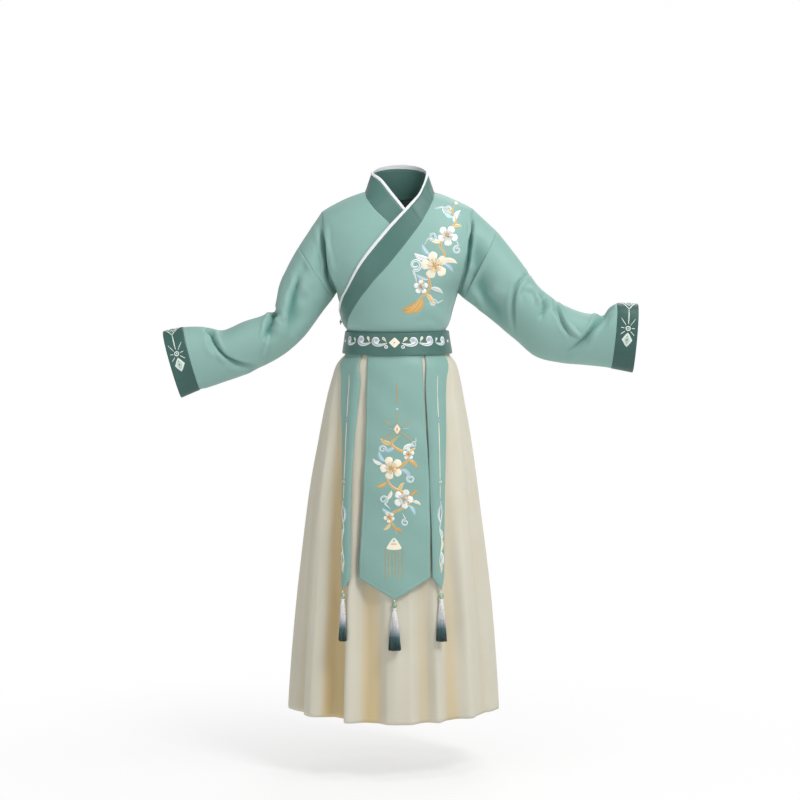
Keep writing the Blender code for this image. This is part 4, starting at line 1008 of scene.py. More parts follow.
def skirt_patch(first, last):
    """Half of the skirt between two side seams, which drift with the pleats."""
    top, hem = SKIRT[0].level, SKIRT[-1].level

    def place(across, up):
        level = hem + (top - hem) * up
        drift = 1 - up**PLEAT_DRIFT
        ends = [seam[0] + (seam[1] - seam[0]) * drift for seam in (first, last)]
        turn = np.radians(ends[0] + (ends[1] - ends[0]) * across)
        points = skirt_point(level, turn)[0]
        return points, turn * 0.15, level, level - hem

    return patch(SKIRT_ROUND, SKIRT_STEPS, place)


def skirt_relief(points, normals, cut):
    """Small uneven drapes between the pleats. The crepe's painted fold shade is set afterwards from the pleats' own
    depth.
    """
    turn, level = cut[:, 0] / 0.15, cut[:, 1]
    drop = skirt_drop(level)
    ripple = 0.0010 * np.sin(turn * 31 + 3.0 * drop + 1.2 * np.sin(level * 9)) * soft(drop, 0.05, 0.4)
    sway = 0.0012 * np.sin(turn * 13 + level * 14) * soft(drop, 0.1, 0.6)
    return ripple + sway


cream_crepe = woven("cream_crepe", CREAM, CREAM_SHADE, 0.66, thread=0.0009, stitch_at=0.016,
                    stitch_shows=0.12, painted_fold_shade=CREAM_PAINTED_SHADE)
skirt_front = cloth("skirt_cloth_front", cream_crepe, CLOTH_WALL, [skirt_patch(RIGHT_SEAM, LEFT_SEAM)],
                    skirt_relief, "skirt_front")
skirt_back = cloth("skirt_cloth_back", cream_crepe, CLOTH_WALL,
                   [skirt_patch(LEFT_SEAM, (RIGHT_SEAM[0] + 360, RIGHT_SEAM[1] + 360))],
                   skirt_relief, "skirt_back")
# Painted shade: the pleats' depth goes into the fold attribute, so the crepe is painted darker and warmer in its
# valleys; the back half gets less of it.
for half, painted_shade_share in ((skirt_front, 1.0), (skirt_back, 0.45)):
    seen = np.empty(len(half.data.vertices) * 3, np.float32)
    half.data.attributes["cut"].data.foreach_get("vector", seen)
    cut = seen.reshape(-1, 3).astype(float)
    depth = skirt_point(cut[:, 1], cut[:, 0] / 0.15)[1]
    half.data.attributes["fold"].data.foreach_set("value", (painted_shade_share * depth).astype(np.float32))
BandRow = namedtuple("BandRow", "level half_width front_depth back_depth")
WAISTBAND = (
    BandRow(-0.2545, 0.0893, 0.0756, 0.0715),
    BandRow(-0.2690, 0.0898, 0.0760, 0.0728),
)


def waistband_patch():
    """The skirt's waistband, a closed ring that the belt covers."""
    def place(across, up):
        points = ring_point(through(WAISTBAND, 1 - up), 2 * math.pi * across)
        return points, across * 0.53, points[..., 2], 0.5
    return patch(WAISTBAND_ROUND, 4, place)


WAISTBAND_ROUND = 160
waistband = cloth("waistband_cloth", cream_crepe, CLOTH_WALL, [waistband_patch()], None,
                  "waistband")


# The belt: a wide stiffened band of the green satin that flares a little over the skirt's top, goes
# once round and laps over its own end at the middle of the back.
BELT = (
    BandRow(-0.2440, 0.0914, 0.0784, 0.0745),
    BandRow(-0.2640, 0.0940, 0.0805, 0.0772),
    BandRow(-0.2845, 0.0974, 0.0840, 0.0808),
)
BELT_LAP_DEG = 18
BELT_ROUND, BELT_STEPS = 300, 22


def belt_patch():
    lap = math.radians(BELT_LAP_DEG)

    def place(across, up):
        level = through(BELT, (len(BELT) - 1) * (1 - up))
        turn = -math.pi - lap / 2 + (2 * math.pi + lap) * across
        over = (BAND_WALL + 0.0006) * soft(turn, math.pi - 2.2 * lap, math.pi - 0.6 * lap)
        points = ring_point(level, turn, over)
        edge = np.minimum(up, 1 - up) * (BELT[0].level - BELT[-1].level)
        return points, turn * 0.088, level.level, edge

    return patch(BELT_ROUND, BELT_STEPS, place)


def belt_relief(points, normals, cut):
    """The band buckles a little where the body bends it."""
    turn, level = cut[:, 0] / 0.088, cut[:, 1]
    wave = np.sin(turn * 9 + 40 * level) * np.sin(turn * 4 + 1.3)
    return 0.0005 * wave * soft(cut[:, 2], 0.0, 0.01)


BELT_GREEN = (0.088, 0.200, 0.172)
BELT_SHADE = (0.030, 0.090, 0.076)
belt_satin = woven("belt_satin", BELT_GREEN, BELT_SHADE, 0.42, figure=1.1, stitch_at=0.0022)
belt = cloth("belt_band", belt_satin, BAND_WALL, [belt_patch()], belt_relief, "belt")


# The hanging panels: three long strips of the mint satin, sewn in under the belt, that end in points.
# The middle one lies over the skirt's folds and each side one follows its own pleat.
PANEL_TOP = -0.2720
CentrePanelRow = namedtuple("CentrePanelRow", "level right_x left_x clear")
CENTRE_PANEL = (
    CentrePanelRow(-0.2720, -0.0523, 0.0435, 0.0030),
    CentrePanelRow(-0.2860, -0.0526, 0.0440, 0.0030),
    CentrePanelRow(-0.3080, -0.0533, 0.0451, 0.0036),
    CentrePanelRow(-0.3400, -0.0542, 0.0467, 0.0046),
    CentrePanelRow(-0.4240, -0.0556, 0.0514, 0.0066),
    CentrePanelRow(-0.5020, -0.0594, 0.0566, 0.0080),
    CentrePanelRow(-0.5890, -0.0635, 0.0580, 0.0095),
    CentrePanelRow(-0.6730, -0.0681, 0.0590, 0.0110),
)
CENTRE_POINT_DROP = 0.0360
SidePanelRow = namedtuple("SidePanelRow", "level from_deg to_deg clear")
RIGHT_PANEL = (
    SidePanelRow(-0.2720, -76.0, -43.0, 0.0026),
    SidePanelRow(-0.2860, -75.0, -41.5, 0.0028),
    SidePanelRow(-0.3080, -66.0, -37.0, 0.0040),
    SidePanelRow(-0.3400, -56.5, -32.5, 0.0044),
    SidePanelRow(-0.4260, -46.0, -31.2, 0.0054),
    SidePanelRow(-0.5040, -39.0, -29.6, 0.0068),
    SidePanelRow(-0.5910, -33.6, -27.6, 0.0084),
    SidePanelRow(-0.6720, -29.9, -26.0, 0.0098),
)
LEFT_PANEL = (
    SidePanelRow(-0.2720, 32.5, 66.0, 0.0026),
    SidePanelRow(-0.2860, 31.0, 64.5, 0.0028),
    SidePanelRow(-0.3080, 28.4, 57.0, 0.0040),
    SidePanelRow(-0.3400, 26.4, 49.0, 0.0044),
    SidePanelRow(-0.4260, 26.0, 42.4, 0.0054),
    SidePanelRow(-0.5040, 26.0, 36.8, 0.0068),
    SidePanelRow(-0.5910, 25.6, 32.0, 0.0084),
    SidePanelRow(-0.6720, 24.8, 28.8, 0.0098),
)
SIDE_POINT_DROP = 0.0240


def centre_panel_point(across, level):
    """Points of the middle panel at shares across it and at levels."""
    row = through(CENTRE_PANEL, place_of_level(CENTRE_PANEL, level))
    x = row.right_x + (row.left_x - row.right_x) * across
    skirt = through(SKIRT, place_of_level(SKIRT, level))
    turn = np.arcsin((x - skirt.middle_x) / skirt.half_width)
    points = skirt_point(level, turn, row.clear, bridged=True)[0]
    points[..., 0] = x
    return points


def side_panel_point(table, across, level):
    """Points of a side panel, which lies on the skirt's pleat."""
    row = through(table, place_of_level(table, level))
    turn = np.radians(row.from_deg + (row.to_deg - row.from_deg) * across)
    ahead, behind = skirt_point(level, turn + 0.01)[0], skirt_point(level, turn - 0.01)[0]
    run = ahead - behind
    out = unit(np.stack((run[..., 1], -run[..., 0], 0 * turn), -1))
    return skirt_point(level, turn)[0] + out * row.clear[..., None]


def panel_patch(point, bottom, drop, width, columns, rows):
    """A hanging panel whose lower edge runs down to a point in the middle."""
    def place(across, up):
        end = bottom - drop * (1 - abs(2 * across - 1))
        level = end + (PANEL_TOP - end) * up
        points = point(across, level)
        side = (0.5 - abs(across - 0.5)) * width
        slant = math.hypot(width / 2, drop) / (width / 2)
        edge = np.minimum(side, (level - end) / slant + 0.0 * side)
        return points, (across - 0.5) * width, level, edge
    return patch(columns, rows, place)


def panel_relief(points, normals, cut):
    """A slack panel waves a little at its edges and near its end."""
    level = cut[:, 1]
    loose = soft(-level, 0.34, 0.66)
    return 0.0009 * loose * np.sin(level * 44 + cut[:, 0] * 40) + 0.0006 * np.sin(level * 90 + cut[:, 0] * 70)


PANEL_MINT = (0.230, 0.394, 0.353)
PANEL_SHADE = (0.186, 0.336, 0.298)
panel_satin = woven("panel_satin", PANEL_MINT, PANEL_SHADE, 0.52)
centre_panel = cloth(
    "panel_cloth_centre", panel_satin, CLOTH_WALL,
    [panel_patch(centre_panel_point, CENTRE_PANEL[-1].level, CENTRE_POINT_DROP, 0.115, 60, 190)],
    panel_relief, "centre_panel",
)
side_panels = {}
for side, table in (("right", RIGHT_PANEL), ("left", LEFT_PANEL)):
    side_panels[side] = cloth(
        f"panel_cloth_{side}", panel_satin, CLOTH_WALL,
        [panel_patch(
            lambda across, level, table=table: side_panel_point(table, across, level),
            table[-1].level, SIDE_POINT_DROP, 0.055, 28, 170,
        )],
        None, f"side_panel_{side}",
    )

# The embroidery: satin stitch in silk on the chest, belt, cuffs and panels. Each stroke is a low crowned
# bar of thread, drawn with x across and y up, and laid on the cloth with its edges sunk into it.
GOLD = (0.64, 0.35, 0.09)
PALE_GOLD = (0.78, 0.60, 0.32)
THREAD_CREAM = (0.86, 0.80, 0.66)
THREAD_WHITE = (0.88, 0.88, 0.85)
SKY_BLUE = (0.36, 0.58, 0.68)
LAVENDER = (0.40, 0.50, 0.63)
BROWN = (0.20, 0.11, 0.07)
STITCH_STEP = 0.0011
STROKE_ACROSS = np.array((-1.0, -0.55, 0.0, 0.55, 1.0))
STROKE_CROWN = np.array((-0.5, 0.75, 1.0, 0.75, -0.5))
THINNEST = 0.00016
Stroke = namedtuple("Stroke", "line half_widths dye crown", defaults=(0.0005,))


def moved(strokes, place, size=1.0, turn=0.0):
    """Strokes made larger, turned by degrees and moved to their place."""
    across, up = size * math.cos(math.radians(turn)), size * math.sin(math.radians(turn))
    return [
        stroke._replace(
            line=[(place[0] + across * x - up * y, place[1] + up * x + across * y) for x, y in stroke.line],
            half_widths=[size * width for width in stroke.half_widths],
        )
        for stroke in strokes
    ]


def mirrored(strokes):
    return [stroke._replace(line=[(-x, y) for x, y in stroke.line]) for stroke in strokes]


def bar(start, end, half_width, dye):
    """A straight bar, a little slimmer at its ends."""
    middle = ((start[0] + end[0]) / 2, (start[1] + end[1]) / 2)
    return Stroke([start, middle, end], (0.7 * half_width, half_width, 0.7 * half_width), dye)


def dot(place, radius, dye, crown=0.0007):
    return Stroke([(place[0] - radius, place[1]), place, (place[0] + radius, place[1])],
                  (0.0, 0.87 * radius, radius, 0.87 * radius, 0.0), dye, crown)


def ring(place, radius, half_width, dye):
    turns = [2 * math.pi * step / 12 for step in range(13)]
    line = [(place[0] + radius * math.cos(turn), place[1] + radius * math.sin(turn)) for turn in turns]
    return Stroke(line[:-1] + line[:1], (half_width, half_width), dye, 0.0006)


def lozenge(place, half_across, half_up, dye, crown=0.0006):
    """A filled diamond."""
    shares = (0.0, 0.25, 0.5, 0.75, 1.0, 0.75, 0.5, 0.25, 0.0)
    line = [(place[0], place[1] + half_up), place, (place[0], place[1] - half_up)]
    return Stroke(line, [half_across * share for share in shares], dye, crown)


def lozenge_rim(place, half_across, half_up, half_width, dye):
    """A diamond's outline, one bar to a side."""
    x, y = place
    corners = [(x, y + half_up), (x + half_across, y), (x, y - half_up), (x - half_across, y), (x, y + half_up)]
    return [bar(start, end, half_width, dye) for start, end in zip(corners, corners[1:])]


def leaf(dye, vein, bend=0.12, fat=0.15):
    """A leaf from its stalk at 0 to its tip at 1."""
    blade = Stroke([(0, 0), (0.33, bend), (0.7, bend), (1, 0)], (0.03, fat, 0.85 * fat, 0.02), dye)
    rib = Stroke([(0.04, 0.01), (0.4, bend), (0.86, 0.55 * bend)], (0.02, 0.035, 0.012), vein, 0.0008)
    return [blade, rib]


def edged(line, half_widths, dye, edge_dye, rim):
    """A stroke with a paler one under it that shows as a rim."""
    return [
        Stroke(line, [width + rim for width in half_widths], edge_dye, 0.0004),
        Stroke(line, half_widths, dye, 0.0007),
    ]


def blossom(petal, shade, heart, petals=5):
    """A flower of radius 1: rounded petals that darken inwards, stamens and a heart."""
    strokes = []
    for number in range(petals):
        turn = 90 + 360 / petals * number
        outer = Stroke([(0.10, 0), (0.42, 0.02), (0.72, 0), (1.0, 0)], (0.07, 0.25, 0.38, 0.40, 0.14), petal, 0.0010)
        inner = Stroke([(0.14, 0), (0.36, 0.01), (0.60, 0)], (0.05, 0.13, 0.03), shade, 0.0013)
        strokes += moved([outer, inner], (0, 0), turn=turn)
    for number in range(2 * petals):
        turn = math.radians(90 + 180 / petals * (number + 0.5))
        tip = (0.46 * math.cos(turn), 0.46 * math.sin(turn))
        stamen = bar((0.2 * tip[0], 0.2 * tip[1]), tip, 0.018, heart)._replace(crown=0.0014)
        strokes += [stamen, dot(tip, 0.05, heart, 0.0015)]
    return strokes + [dot((0, 0), 0.13, heart, 0.0016)]


def cloud(dye, edge_dye):
    """A curled cloud: a spiral of radius 1 with a tail."""
    line = [(2.6, -1.15), (1.9, -0.95), (1.25, -0.85)]
    for step in range(15):
        turn, radius = math.radians(-42 + 32 * step), 1.0 - 0.050 * step
        line.append((radius * math.cos(turn), radius * math.sin(turn)))
    return edged(line, (0.03, 0.12, 0.17, 0.15, 0.13, 0.10, 0.08), dye, edge_dye, 0.09)


def silk_finish(name):
    """Silk thread: its dye is on the strokes, and fine parallel strands run across each one."""
    material = bpy.data.materials.new(name)
    material.use_nodes = True
    shader = material.node_tree.nodes["Principled BSDF"]
    wire = Wire(material.node_tree)
    dye = wire.node("ShaderNodeAttribute", {"attribute_name": "dye"}, out="Color")
    stitch = wire.node("ShaderNodeAttribute", {"attribute_name": "stitch"}, out="Vector")
    length = wire.node("ShaderNodeSeparateXYZ", None, {0: stitch})
    side, shade = length.other("Y"), length.other("Z")
    strand = (length + side * 0.35).wave(0.00045)
    fuzz_place = wire.node("ShaderNodeCombineXYZ", None, {"X": length * 2200.0, "Y": side * 300.0, "Z": shade})
    fuzz = wire.node("ShaderNodeTexNoise", None, {"Vector": fuzz_place, "Scale": 1.0, "Detail": 2.0})
    tone = 0.5 + strand * 0.16 + (fuzz - 0.5) * 0.7 + (shade - 0.5) * 0.5
    colour = tone.step(0.0, 1.0).blend((0.74, 0.73, 0.72), (1.0, 1.0, 1.0))
    wire.plug(shader.inputs["Base Color"], (fuzz * 0.0 + 1.0).blend(dye, colour, "MULTIPLY"))
    wire.plug(shader.inputs["Roughness"], 0.36 + (fuzz - 0.5) * 0.2)
    height = strand * 0.12 + fuzz * 0.10
    bump = wire.node("ShaderNodeBump", None, {"Height": height, "Distance": 0.001, "Strength": 0.7})
    wire.plug(shader.inputs["Normal"], bump)
    shader.inputs["Sheen Weight"].default_value = 0.10
    return material


def stitched(name, strokes, aim, ground):
    """Strokes laid on a piece of cloth. aim gives, for places drawn, where a ray starts and its way."""
    tree = BVHTree.FromObject(ground, bpy.context.evaluated_depsgraph_get())
    chance = np.random.default_rng(len(strokes))
    points, faces, dyes, threads = [], [], [], []
    for number, stroke in enumerate(strokes):
        line, widths = np.asarray(stroke.line, float), np.asarray(stroke.half_widths, float)[:, None]
        length = np.linalg.norm(np.diff(line, axis=0), axis=1).sum()
        steps = max(6, int(length / STITCH_STEP))
        share = np.linspace(0, 1, steps + 1)
        middle = along(line, share * (len(line) - 1))
        width = along(widths, share * (len(widths) - 1))[:, 0]
        if tuple(stroke.line[0]) != tuple(stroke.line[-1]):
            width = width * np.maximum(1 - abs(2 * share - 1) ** 8, 0.03) ** 0.5
        width = np.maximum(width, THINNEST)
        run = unit(np.gradient(middle, axis=0))
        side = np.stack((-run[:, 1], run[:, 0]), 1)
        flat = middle[:, None] + side[:, None] * (width[:, None] * STROKE_ACROSS)[..., None]
        starts, ways = aim(flat.reshape(-1, 2))
        rise = stroke.crown * np.tile(STROKE_CROWN, steps + 1) + 0.00002 * (number % 8)
        first = len(points)
        for start, way, lift in zip(starts.tolist(), ways.tolist(), rise.tolist()):
            hit, normal = tree.ray_cast(start, way)[:2]
            if hit is None:
                hit, normal = tree.find_nearest(start)[:2]
            if normal.dot(way) > 0:
                normal = -normal
            points.append(hit + normal * lift)
        for step in range(steps):
            for column in range(len(STROKE_ACROSS) - 1):
                corner = first + step * len(STROKE_ACROSS) + column
                over = corner + len(STROKE_ACROSS)
                faces.append((corner, over, over + 1, corner + 1))
        shade = chance.random()
        dyes += [(*stroke.dye, 1.0)] * len(rise)
        offset = width[:, None] * STROKE_ACROSS
        down = np.repeat(share * length, len(STROKE_ACROSS))
        threads.append(np.stack((down, offset.ravel(), np.full_like(down, shade)), 1))
    obj = mesh_object(name, np.array([tuple(point) for point in points]), faces, silk, {
        "dye": ("FLOAT_COLOR", "color", dyes),
        "stitch": ("FLOAT_VECTOR", "vector", np.concatenate(threads)),
    })
    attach(obj, "root")
    return obj


def from_ahead(places):
    """Rays from straight in front, for places given as x and z."""
    starts = np.stack((places[:, 0], np.full(len(places), -0.6), places[:, 1]), 1)
    return starts, np.broadcast_to((0.0, 1.0, 0.0), starts.shape)


silk = silk_finish("silk_thread")

# On the chest, a spray of blossoms on a gold stem climbs from the belt's side to the left shoulder.
chest_spray = edged(
    [(0.024, -0.200), (0.040, -0.184), (0.058, -0.166), (0.056, -0.146), (0.070, -0.128), (0.084, -0.108),
     (0.076, -0.088), (0.090, -0.066), (0.104, -0.048), (0.098, -0.030), (0.104, -0.016)],
    (0.0008, 0.0016, 0.0021, 0.0015, 0.0020, 0.0014, 0.0008), GOLD, PALE_GOLD, 0.0006)
for place, length, turn, dye, vein in (
    ((0.036, -0.188), 0.026, 208, GOLD, PALE_GOLD),
    ((0.040, -0.184), 0.030, 222, GOLD, PALE_GOLD),
    ((0.044, -0.182), 0.026, 238, GOLD, PALE_GOLD),
    ((0.050, -0.175), 0.021, 300, PALE_GOLD, GOLD),
    ((0.058, -0.166), 0.020, 338, THREAD_WHITE, SKY_BLUE),
    ((0.056, -0.150), 0.020, 158, SKY_BLUE, THREAD_WHITE),
    ((0.050, -0.160), 0.016, 118, PALE_GOLD, GOLD),
    ((0.078, -0.118), 0.023, 352, THREAD_CREAM, PALE_GOLD),
    ((0.080, -0.122), 0.021, 318, SKY_BLUE, THREAD_WHITE),
    ((0.060, -0.108), 0.022, 128, SKY_BLUE, THREAD_WHITE),
    ((0.056, -0.112), 0.022, 162, THREAD_WHITE, SKY_BLUE),
    ((0.080, -0.082), 0.019, 168, THREAD_CREAM, PALE_GOLD),
    ((0.096, -0.058), 0.015, 4, PALE_GOLD, GOLD),
    ((0.101, -0.050), 0.020, 62, THREAD_WHITE, SKY_BLUE),
    ((0.099, -0.042), 0.020, 128, SKY_BLUE, THREAD_WHITE),
    ((0.099, -0.030), 0.015, 152, PALE_GOLD, GOLD),
):
    chest_spray += moved(leaf(dye, vein, fat=0.18), place, 1.25 * length, turn)
for place, size, turn in (
    ((0.090, -0.026), 0.0088, 200), ((0.032, -0.124), 0.0108, -62), ((0.106, -0.098), 0.0072, 118),
    ((0.064, -0.192), 0.0068, 40), ((0.062, -0.074), 0.0076, 250),
):
    chest_spray += moved(cloud(SKY_BLUE, THREAD_WHITE), place, size, turn)
chest_spray += moved(blossom(THREAD_CREAM, PALE_GOLD, GOLD), (0.066, -0.125), 0.0245, 12)
chest_spray += moved(blossom(THREAD_WHITE, SKY_BLUE, GOLD), (0.089, -0.073), 0.0185, 40)
chest_spray += moved(blossom(THREAD_WHITE, SKY_BLUE, GOLD), (0.042, -0.163), 0.0130, 0)
chest_spray += [dot((0.105, -0.015), 0.0030, THREAD_CREAM), dot((0.110, -0.036), 0.0026, SKY_BLUE)]
chest_embroidery = stitched("embroidery_chest", chest_spray, from_ahead, front_left)

# On the belt, paired scrolls with white rims run from a cream diamond in the middle to both sides.
BELT_MIDDLE = -0.0043
SCROLL_TAIL = ((0.60, 0.20), (0.68, -0.36), (0.32, -0.86), (-0.45, -1.14), (-1.35, -1.14), (-2.20, -0.92),
               (-2.95, -0.60))
TAIL_RIM = (0.26, 0.42, 0.48, 0.46, 0.38, 0.26, 0.06)
TAIL_FILL = (0.08, 0.22, 0.28, 0.26, 0.18, 0.09, 0.02)
CURL = ((-0.62, 0.08), (-0.34, -0.36), (0.16, -0.34), (0.34, 0.10), (-0.02, 0.32))
belt_half = []
for place, size in (((0.0318, -0.2580), 0.0070), ((0.0612, -0.2570), 0.0073), ((0.0925, -0.2580), 0.0066)):
    scroll = [dot((0, 0), 1.0, THREAD_WHITE, 0.0004), Stroke(SCROLL_TAIL, TAIL_RIM, THREAD_WHITE, 0.0004),
              dot((-0.04, 0.02), 0.78, LAVENDER, 0.0007), Stroke(SCROLL_TAIL, TAIL_FILL, LAVENDER, 0.0007),
              Stroke(CURL, (0.04, 0.09, 0.11, 0.09, 0.04), THREAD_WHITE, 0.0010)]
    belt_half += moved(scroll, place, size)
TEARDROP = ((0, 0), (0.4, 0.04), (0.75, 0.02), (1.0, 0.0))
for place, length, turn, dye, core in (
    ((0.0135, -0.2610), 0.0110, 50, THREAD_CREAM, GREEN),
    ((0.0435, -0.2610), 0.0105, 66, THREAD_CREAM, PALE_GOLD),
    ((0.0740, -0.2615), 0.0085, 62, THREAD_WHITE, LAVENDER),
):
    belt_half += moved([
        Stroke(TEARDROP, (0.03, 0.12, 0.24, 0.27, 0.14), dye),
        Stroke(((0.45, 0.03), (0.66, 0.03), (0.84, 0.02)), (0.03, 0.09, 0.04), core, 0.0008),
    ], place, length, turn)
belt_half += [ring((0.0136, -0.2693), 0.0024, 0.0009, THREAD_WHITE), dot((0.0136, -0.2693), 0.0009, LAVENDER)]
belt_half += [dot((0.1120, -0.2612), 0.0030, THREAD_WHITE), dot((0.1120, -0.2612), 0.0010, PALE_GOLD, 0.0011)]
belt_scrolls = belt_half + mirrored(belt_half)
belt_scrolls += [lozenge((0, -0.2617), 0.0110, 0.0091, THREAD_CREAM), dot((0, -0.2617), 0.0014, BROWN, 0.0012)]
for turn in range(0, 360, 60):
    belt_scrolls += moved([bar((0.0016, 0), (0.0038, 0), 0.00035, PALE_GOLD)], (0, -0.2617), 1.0, turn + 30)
belt_scrolls = [stroke._replace(crown=stroke.crown + 0.0001) for stroke in belt_scrolls]


def towards_belt(places):
    """Rays at the belt, for places given as the distance round it from the middle and z."""
    turn = (places[:, 0] + BELT_MIDDLE) / 0.088
    row = through(BELT, place_of_level(BELT, places[:, 1]))
    outside = ring_point(row, turn, 0.03)
    return outside, unit(ring_point(row, turn) - outside)


belt_embroidery = stitched("embroidery_belt", belt_scrolls, towards_belt, belt)

# On each cuff, from the sleeve's upper fold down the front: a pointed lace figure, a line, a star with
# rays and a diamond, and further down the seam that closes the cuff.
CUFF_THREAD = (0.68, 0.77, 0.71)
cuff_figure = lozenge_rim((0, 0), 0.0130, 0.0300, 0.0012, CUFF_THREAD)
cuff_figure += lozenge_rim((0, 0), 0.0090, 0.0215, 0.0008, CUFF_THREAD)
cuff_figure += [dot((0, y), 0.0019, CUFF_THREAD) for y in (-0.0130, 0.0, 0.0130)]
cuff_figure += [dot((x, y), 0.0014, CUFF_THREAD) for x in (-0.0042, 0.0042) for y in (-0.0060, 0.0060)]
cuff_figure += [bar((0, -0.0305), (0, -0.0585), 0.0010, CUFF_THREAD)]
cuff_figure += [ring((0, -0.0650), 0.0030, 0.0010, CUFF_THREAD), dot((0, -0.0650), 0.0012, THREAD_CREAM)]
star_rays = [
    bar((0.0030, -0.0605), (0.0110, -0.0485), 0.0007, CUFF_THREAD),
    bar((0.0050, -0.0648), (0.0108, -0.0640), 0.0007, CUFF_THREAD),
    bar((0.0036, -0.0690), (0.0104, -0.0745), 0.0007, CUFF_THREAD),
]
cuff_figure += star_rays + mirrored(star_rays)
cuff_figure += [lozenge((0, -0.0815), 0.0094, 0.0104, CUFF_THREAD)]
cuff_figure += [lozenge((0, -0.0815), 0.0060, 0.0068, (0.30, 0.44, 0.38), 0.0008)]
cuff_figure += [lozenge((0, -0.0815), 0.0040, 0.0046, CUFF_THREAD, 0.0010)]
cuff_figure += [lozenge((0, -0.0815), 0.0019, 0.0024, GREEN_SHADE, 0.0013)]
cuff_figure += [Stroke([(-0.0165, -0.1040), (0, -0.1032), (0.0165, -0.1025)], (0.0005, 0.0005), GREEN_SHADE)]
for side, table in ((-1, RIGHT_SLEEVE), (1, LEFT_SLEEVE)):
    def towards_cuff(places, side=side, table=table):
        """Rays at the cuff, for places given as x from its middle and the way round from its top."""
        row = SLEEVE_END + 0.5 + side * places[:, 0] / STATION_LENGTH
        turn = -places[:, 1] / 0.050
        middle = sleeve_base(table, row, turn) / 2 + sleeve_base(table, row, turn + math.pi) / 2
        outside = middle + 2.5 * (sleeve_base(table, row, turn) - middle)
        return outside, unit(middle - outside)

    name = "right" if side < 0 else "left"
    cuff_embroidery = stitched(f"embroidery_cuff_{name}", cuff_figure, towards_cuff, cuffs[name])

# On the middle panel: a line with a dot, a diamond star, blossoms and clouds on a winding stem, and a
# fan-shaped pendant whose strings end in small beads of thread.
panel_figure = [
    bar((0, -0.3334), (0, -0.3720), 0.0009, GOLD),
    ring((0, -0.3780), 0.0018, 0.0008, SKY_BLUE), dot((0, -0.3780), 0.0011, THREAD_WHITE),
    bar((0, -0.3820), (0, -0.4030), 0.0007, GOLD),
    lozenge((0, -0.4132), 0.0066, 0.0090, THREAD_CREAM), lozenge((0, -0.4132), 0.0026, 0.0040, GOLD, 0.0010),
]
panel_figure += lozenge_rim((0, -0.4132), 0.0072, 0.0098, 0.0005, GOLD)
star_rays = [
    bar((0.0098, -0.4082), (0.0258, -0.3960), 0.0007, GOLD),
    bar((0.0080, -0.4126), (0.0215, -0.4115), 0.0007, SKY_BLUE),
    bar((0.0078, -0.4192), (0.0268, -0.4348), 0.0009, GOLD),
]
panel_figure += star_rays + mirrored(star_rays)
panel_figure += edged(
    [(0.006, -0.423), (-0.004, -0.430), (-0.010, -0.440), (0.002, -0.449), (0.015, -0.455), (0.018, -0.467),
     (0.006, -0.478), (-0.009, -0.487), (-0.017, -0.500), (-0.010, -0.513), (0.005, -0.521), (0.018, -0.530),
     (0.019, -0.544), (0.006, -0.553), (-0.008, -0.560), (-0.012, -0.573), (-0.005, -0.584), (0.000, -0.597)],
    (0.0008, 0.0026, 0.0017, 0.0026, 0.0016, 0.0024, 0.0016, 0.0022, 0.0008), GOLD, PALE_GOLD, 0.0007)
for place, length, turn, dye, vein in (
    ((-0.008, -0.438), 0.020, 158, PALE_GOLD, GOLD),
    ((-0.004, -0.444), 0.018, 196, SKY_BLUE, THREAD_WHITE),
    ((0.010, -0.450), 0.018, 24, THREAD_WHITE, SKY_BLUE),
    ((0.022, -0.460), 0.015, 52, PALE_GOLD, GOLD),
    ((0.020, -0.468), 0.017, 318, GOLD, PALE_GOLD),
    ((0.004, -0.484), 0.019, 330, SKY_BLUE, THREAD_WHITE),
    ((-0.022, -0.470), 0.018, 118, SKY_BLUE, THREAD_WHITE),
    ((-0.026, -0.474), 0.016, 152, THREAD_WHITE, SKY_BLUE),
    ((-0.019, -0.505), 0.017, 204, GOLD, PALE_GOLD),
    ((-0.010, -0.520), 0.016, 238, THREAD_CREAM, PALE_GOLD),
    ((0.004, -0.523), 0.016, 62, PALE_GOLD, GOLD),
    ((0.024, -0.532), 0.015, 40, GOLD, PALE_GOLD),
    ((0.020, -0.546), 0.018, 300, SKY_BLUE, THREAD_WHITE),
    ((0.026, -0.540), 0.014, 338, THREAD_CREAM, PALE_GOLD),
    ((-0.010, -0.560), 0.016, 150, SKY_BLUE, THREAD_WHITE),
    ((-0.012, -0.576), 0.015, 226, PALE_GOLD, GOLD),
    ((-0.006, -0.586), 0.014, 330, GOLD, PALE_GOLD),
):
    panel_figure += moved(leaf(dye, vein, fat=0.18), place, 1.2 * length, turn)
for place, size, turn in (
    ((-0.026, -0.448), 0.0066, 20), ((0.024, -0.500), 0.0072, 160), ((-0.024, -0.536), 0.0076, -30),
    ((0.014, -0.576), 0.0062, 130), ((0.030, -0.440), 0.0050, 100),
):
    panel_figure += moved(cloud(SKY_BLUE, THREAD_WHITE), place, size, turn)
panel_figure += moved(blossom(THREAD_CREAM, PALE_GOLD, GOLD), (-0.010, -0.481), 0.0205, 20)
panel_figure += moved(blossom(THREAD_WHITE, SKY_BLUE, GOLD), (0.011, -0.535), 0.0175, 50)
panel_figure += moved(blossom(THREAD_WHITE, PALE_GOLD, GOLD), (0.020, -0.457), 0.0105, 0)
panel_figure += moved(blossom(THREAD_CREAM, PALE_GOLD, GOLD), (-0.014, -0.567), 0.0100, 30)
panel_figure += [
    Stroke([(-0.0055, -0.6025), (-0.0055, -0.6240)], (0.0008, 0.0048, 0.0090, 0.0130, 0.0160, 0.0130), THREAD_CREAM),
    Stroke([(-0.0055, -0.6040), (-0.0055, -0.6100)], (0.0008, 0.0030, 0.0052), SKY_BLUE, 0.0008),
    Stroke([(-0.0055, -0.6120), (-0.0055, -0.6150)], (0.0070, 0.0088), PALE_GOLD, 0.0009),
]
